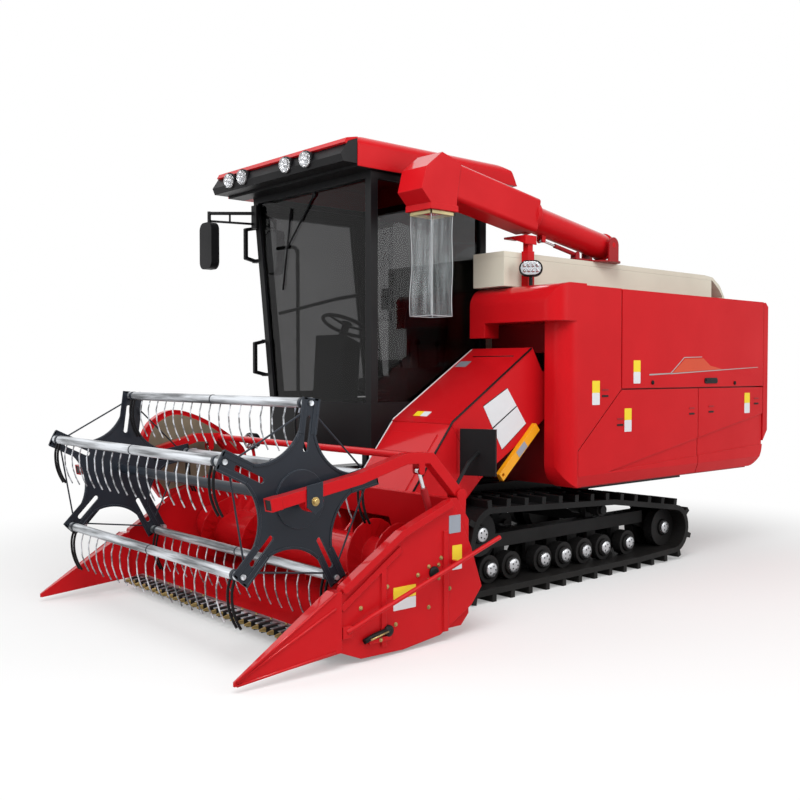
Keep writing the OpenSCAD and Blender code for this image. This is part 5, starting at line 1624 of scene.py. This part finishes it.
@dataclass
class SpoutSleeve:
    """The clear plastic sleeve that hangs from the boom's outlet, with its welds and clamps."""

    side: float = 0.205
    rows: int = 26
    columns: int = 48
    fold: float = 0.006
    inset: float = 0.004
    ripple: float = 0.003
    top_gap: float = 0.001
    length_share: float = 0.995
    girth_share: float = 0.96
    weld_radius: float = 0.0022
    hem_radius: float = 0.0018
    clamp_half: float = 0.004
    clamp_rise: float = 0.011
    clamp_drop: float = 0.014

    def point(self, column: int, share: float) -> Pair:
        """A point of the sleeve's section, waved by the long folds.

        Args:
            column: number of the point round the section.
            share: how far down the sleeve it lies, from 0 to 1.

        Returns:
            Its offset from the sleeve's middle, to the left and to the rear.
        """
        turn = 4 * column / self.columns
        edge, along = int(turn), turn - int(turn)
        corner = ((1, 1), (-1, 1), (-1, -1), (1, -1))[edge]
        step = ((-1, 0), (0, -1), (1, 0), (0, 1))[edge]
        wave = math.sin(column * 1.9 + 2.2 * share) + 0.6 * math.sin(column * 0.83 + 5 * share)
        ripple = self.inset + self.ripple * math.sin(9 * share + column * 0.4)
        shrink = 1 - (self.fold * share * wave + ripple) / (self.side / 2)
        x, y = ((c + 2 * along * s) * self.side / 2 * shrink for c, s in zip(corner, step))
        return x, y

    def build(self) -> None:
        """Builds the sleeve as one hanging sheet with long folds."""
        low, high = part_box("spout_sleeve")
        middle = (low + high) / 2
        height = high.z - low.z
        rings = []
        for share in (i / self.rows for i in range(self.rows + 1)):
            level = high.z - self.top_gap - height * share * self.length_share
            points = (self.point(k, share) for k in range(self.columns))
            rings.append([Vector((middle.x + x, middle.y + y, level)) for x, y in points])
        shape = Shape()
        shape.loft(rings, 0, True, caps=False)
        sleeve = shape.piece("clear_spout_sleeve", Body.BOOM, (SLEEVE,), "clear_sleeve")
        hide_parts("spout_sleeve")
        shape = Shape()
        for k in range(0, self.columns, self.columns // 4):
            shape.tube([ring[k] for ring in rings], self.weld_radius, 6)
        shape.tube(rings[-1] + rings[-1][:1], self.hem_radius, 6)
        hem = shape.piece("sleeve_welds", Body.BOOM, (WELD,))
        self.clamps(middle, high.z)

    def clamps(self, middle: Vector, top: float) -> None:
        """The strips that hold the sleeve to the outlet.

        Args:
            middle: the sleeve's middle.
            top: the height of the sleeve's upper edge.
        """
        shape = Shape()
        half = self.side / 2
        thin, wide = self.clamp_half, half + self.clamp_half
        for x, y in ((1, 0), (-1, 0), (0, 1), (0, -1)):
            reach = Vector((thin if x else wide, thin if y else wide, self.clamp_rise))
            seat = Vector((middle.x + x * half, middle.y + y * half, top - self.clamp_drop))
            shape.block(seat - reach, seat + reach)
        shape.piece("sleeve_clamps", Body.BOOM, (CLAMP,))


@dataclass
class Studio:
    """A pale floor, soft lamps, a plain world and the camera at the photo's viewpoint."""

    WHITE: ClassVar[tuple[float, ...]] = (1.0, 1.0, 1.0, 1.0)

    focal_px: float = 963.0
    frame_px: float = 800.0
    sensor: float = 36.0
    yaw_deg: float = 48.8
    pitch_deg: float = 1.67
    eye: Triple = (5.18, -5.25, 1.5)
    sight: float = 200.0
    floor_side: float = 60.0
    floor_gap: float = 0.0005
    floor_color: Color = (0.78, 0.78, 0.78)
    floor_roughness: float = 0.9
    floor_specular: float = 0.1
    shadow_reach: Pair = (2.2, 5.2)
    shadow_lift: float = 0.25
    daylight: float = 0.42
    lamps: tuple[tuple[str, Triple, Triple, float, float], ...] = (
        ("key", (4.0, -5.0, 7.5), (0.2, -0.3, 1.2), 5.0, 620.0),
        ("fill", (7.0, 3.0, 4.0), (0.8, 0.8, 1.2), 5.0, 210.0),
        ("front", (-3.0, -8.0, 4.5), (-0.2, -1.5, 1.2), 4.0, 170.0))

    def camera(self) -> None:
        """Places the camera."""
        data = bpy.data.cameras.new("photo_camera")
        data.sensor_width = self.sensor
        data.lens = self.focal_px / self.frame_px * self.sensor
        data.clip_end = self.sight
        camera = bpy.data.objects.new("photo_camera", data)
        bpy.context.scene.collection.objects.link(camera)
        yaw, pitch = math.radians(self.yaw_deg), math.radians(self.pitch_deg)
        ahead = Vector((-math.sin(yaw) * math.cos(pitch), math.cos(yaw) * math.cos(pitch), -math.sin(pitch)))
        camera.location = LAYOUT.at(*self.eye)
        camera.rotation_euler = ahead.to_track_quat("-Z", "Y").to_euler()
        bpy.context.scene.camera = camera

    def floor(self) -> None:
        """Lays the floor."""
        shape = bmesh.new()
        half = self.floor_side / 2
        corners = ((-half, -half), (half, -half), (half, half), (-half, half))
        shape.faces.new([shape.verts.new((x, y, -self.floor_gap)) for x, y in corners])
        data = bpy.data.meshes.new("floor")
        shape.to_mesh(data)
        shape.free()
        floor = bpy.data.objects.new("floor", data)
        bpy.context.scene.collection.objects.link(floor)
        data.materials.append(self.floor_finish())

    def shown(self, tree: Tree) -> Socket:
        """Marks the rays that show the surround: the camera's, those through glass and those off gloss.

        Args:
            tree: the tree that needs the mark.

        Returns:
            The socket of a value that is one for those rays.
        """
        path = add_node(tree, "LightPath")
        seen = calc(tree, "MAXIMUM", path.outputs["Is Camera Ray"], path.outputs["Is Transmission Ray"])
        return calc(tree, "MAXIMUM", seen, path.outputs["Is Glossy Ray"])

    def blend(self, tree: Tree, factor: Socket, lit: Node, plain: Node) -> Socket:
        """Mixes two shaders.

        Args:
            tree: the tree that holds them.
            factor: the share of the plain one.
            lit: the shader that takes or gives the light.
            plain: the shader that shows the plain surround.

        Returns:
            The mixed shader's socket.
        """
        mix = add_node(tree, "MixShader")
        for socket, source in zip(mix.inputs, (factor, lit.outputs[0], plain.outputs[0])):
            tree.links.new(source, socket)
        return mix.outputs[0]

    def floor_finish(self) -> bpy.types.Material:
        """A pale matt floor that keeps the object's shadow and fades to the white surround farther out.

        Returns:
            The material.
        """
        made = bpy.data.materials.new("pale_floor")
        made.use_nodes = True
        tree = made.node_tree
        shader = set_inputs(tree.nodes["Principled BSDF"], Base_Color=(*self.floor_color, 1.0),
                            Roughness=self.floor_roughness, Specular_IOR_Level=self.floor_specular)
        white = add_node(tree, "Emission", Color=self.WHITE, Strength=1.0)
        coords = add_node(tree, "TexCoord")
        reach = add_node(tree, "VectorMath")
        reach.operation = "LENGTH"
        tree.links.new(coords.outputs["Object"], reach.inputs[0])
        near, far = self.shadow_reach
        fade = add_node(tree, "MapRange", From_Min=near, From_Max=far, To_Min=self.shadow_lift, To_Max=1.0)
        fade.interpolation_type = "SMOOTHSTEP"
        tree.links.new(reach.outputs["Value"], fade.inputs["Value"])
        factor = calc(tree, "MULTIPLY", self.shown(tree), fade.outputs["Result"])
        surface = tree.nodes["Material Output"].inputs["Surface"]
        tree.links.new(self.blend(tree, factor, shader, white), surface)
        return made

    def world(self) -> None:
        """A plain surround that is white where it is seen and lights at a plain level."""
        world = bpy.data.worlds.new("studio")
        bpy.context.scene.world = world
        world.use_nodes = True
        tree = world.node_tree
        tree.nodes.clear()
        out = add_node(tree, "OutputWorld")
        light = add_node(tree, "Background", Color=self.WHITE, Strength=self.daylight)
        white = add_node(tree, "Background", Color=self.WHITE, Strength=1.0)
        tree.links.new(self.blend(tree, self.shown(tree), light, white), out.inputs[0])

    def lamp(self, name: str, at: Triple, aim: Triple, size: float, power: float) -> None:
        """One square soft lamp.

        Args:
            name: the lamp's name.
            at: its place on the machine's own axes.
            aim: the point that it faces.
            size: its side.
            power: its power in watts.
        """
        data = bpy.data.lights.new(name, "AREA")
        data.shape = "SQUARE"
        data.size = size
        data.energy = power
        lamp = bpy.data.objects.new(name, data)
        bpy.context.scene.collection.objects.link(lamp)
        lamp.location = LAYOUT.at(*at)
        lamp.rotation_euler = (LAYOUT.at(*aim) - lamp.location).to_track_quat("-Z", "Y").to_euler()

    def build(self) -> None:
        """Sets up the studio."""
        bpy.context.scene.view_settings.view_transform = "Standard"
        self.camera()
        self.floor()
        self.world()
        for lamp in self.lamps:
            self.lamp(*lamp)


def main() -> None:
    """Builds and dresses everything in order."""
    logging.basicConfig(level=logging.INFO, format="%(name)s: %(message)s")
    Studio().build()
    NodeFinishes().dress()
    for assembly in (Lamps, SidePlates, Knife, RollerCaps, ReelFittings, HeaderPlates, HeaderTrim, RoofTrim,
                     DriveGuard, CabSeat, CabFittings, SpoutSleeve):
        assembly().build()


if __name__ == "__main__":
    main()
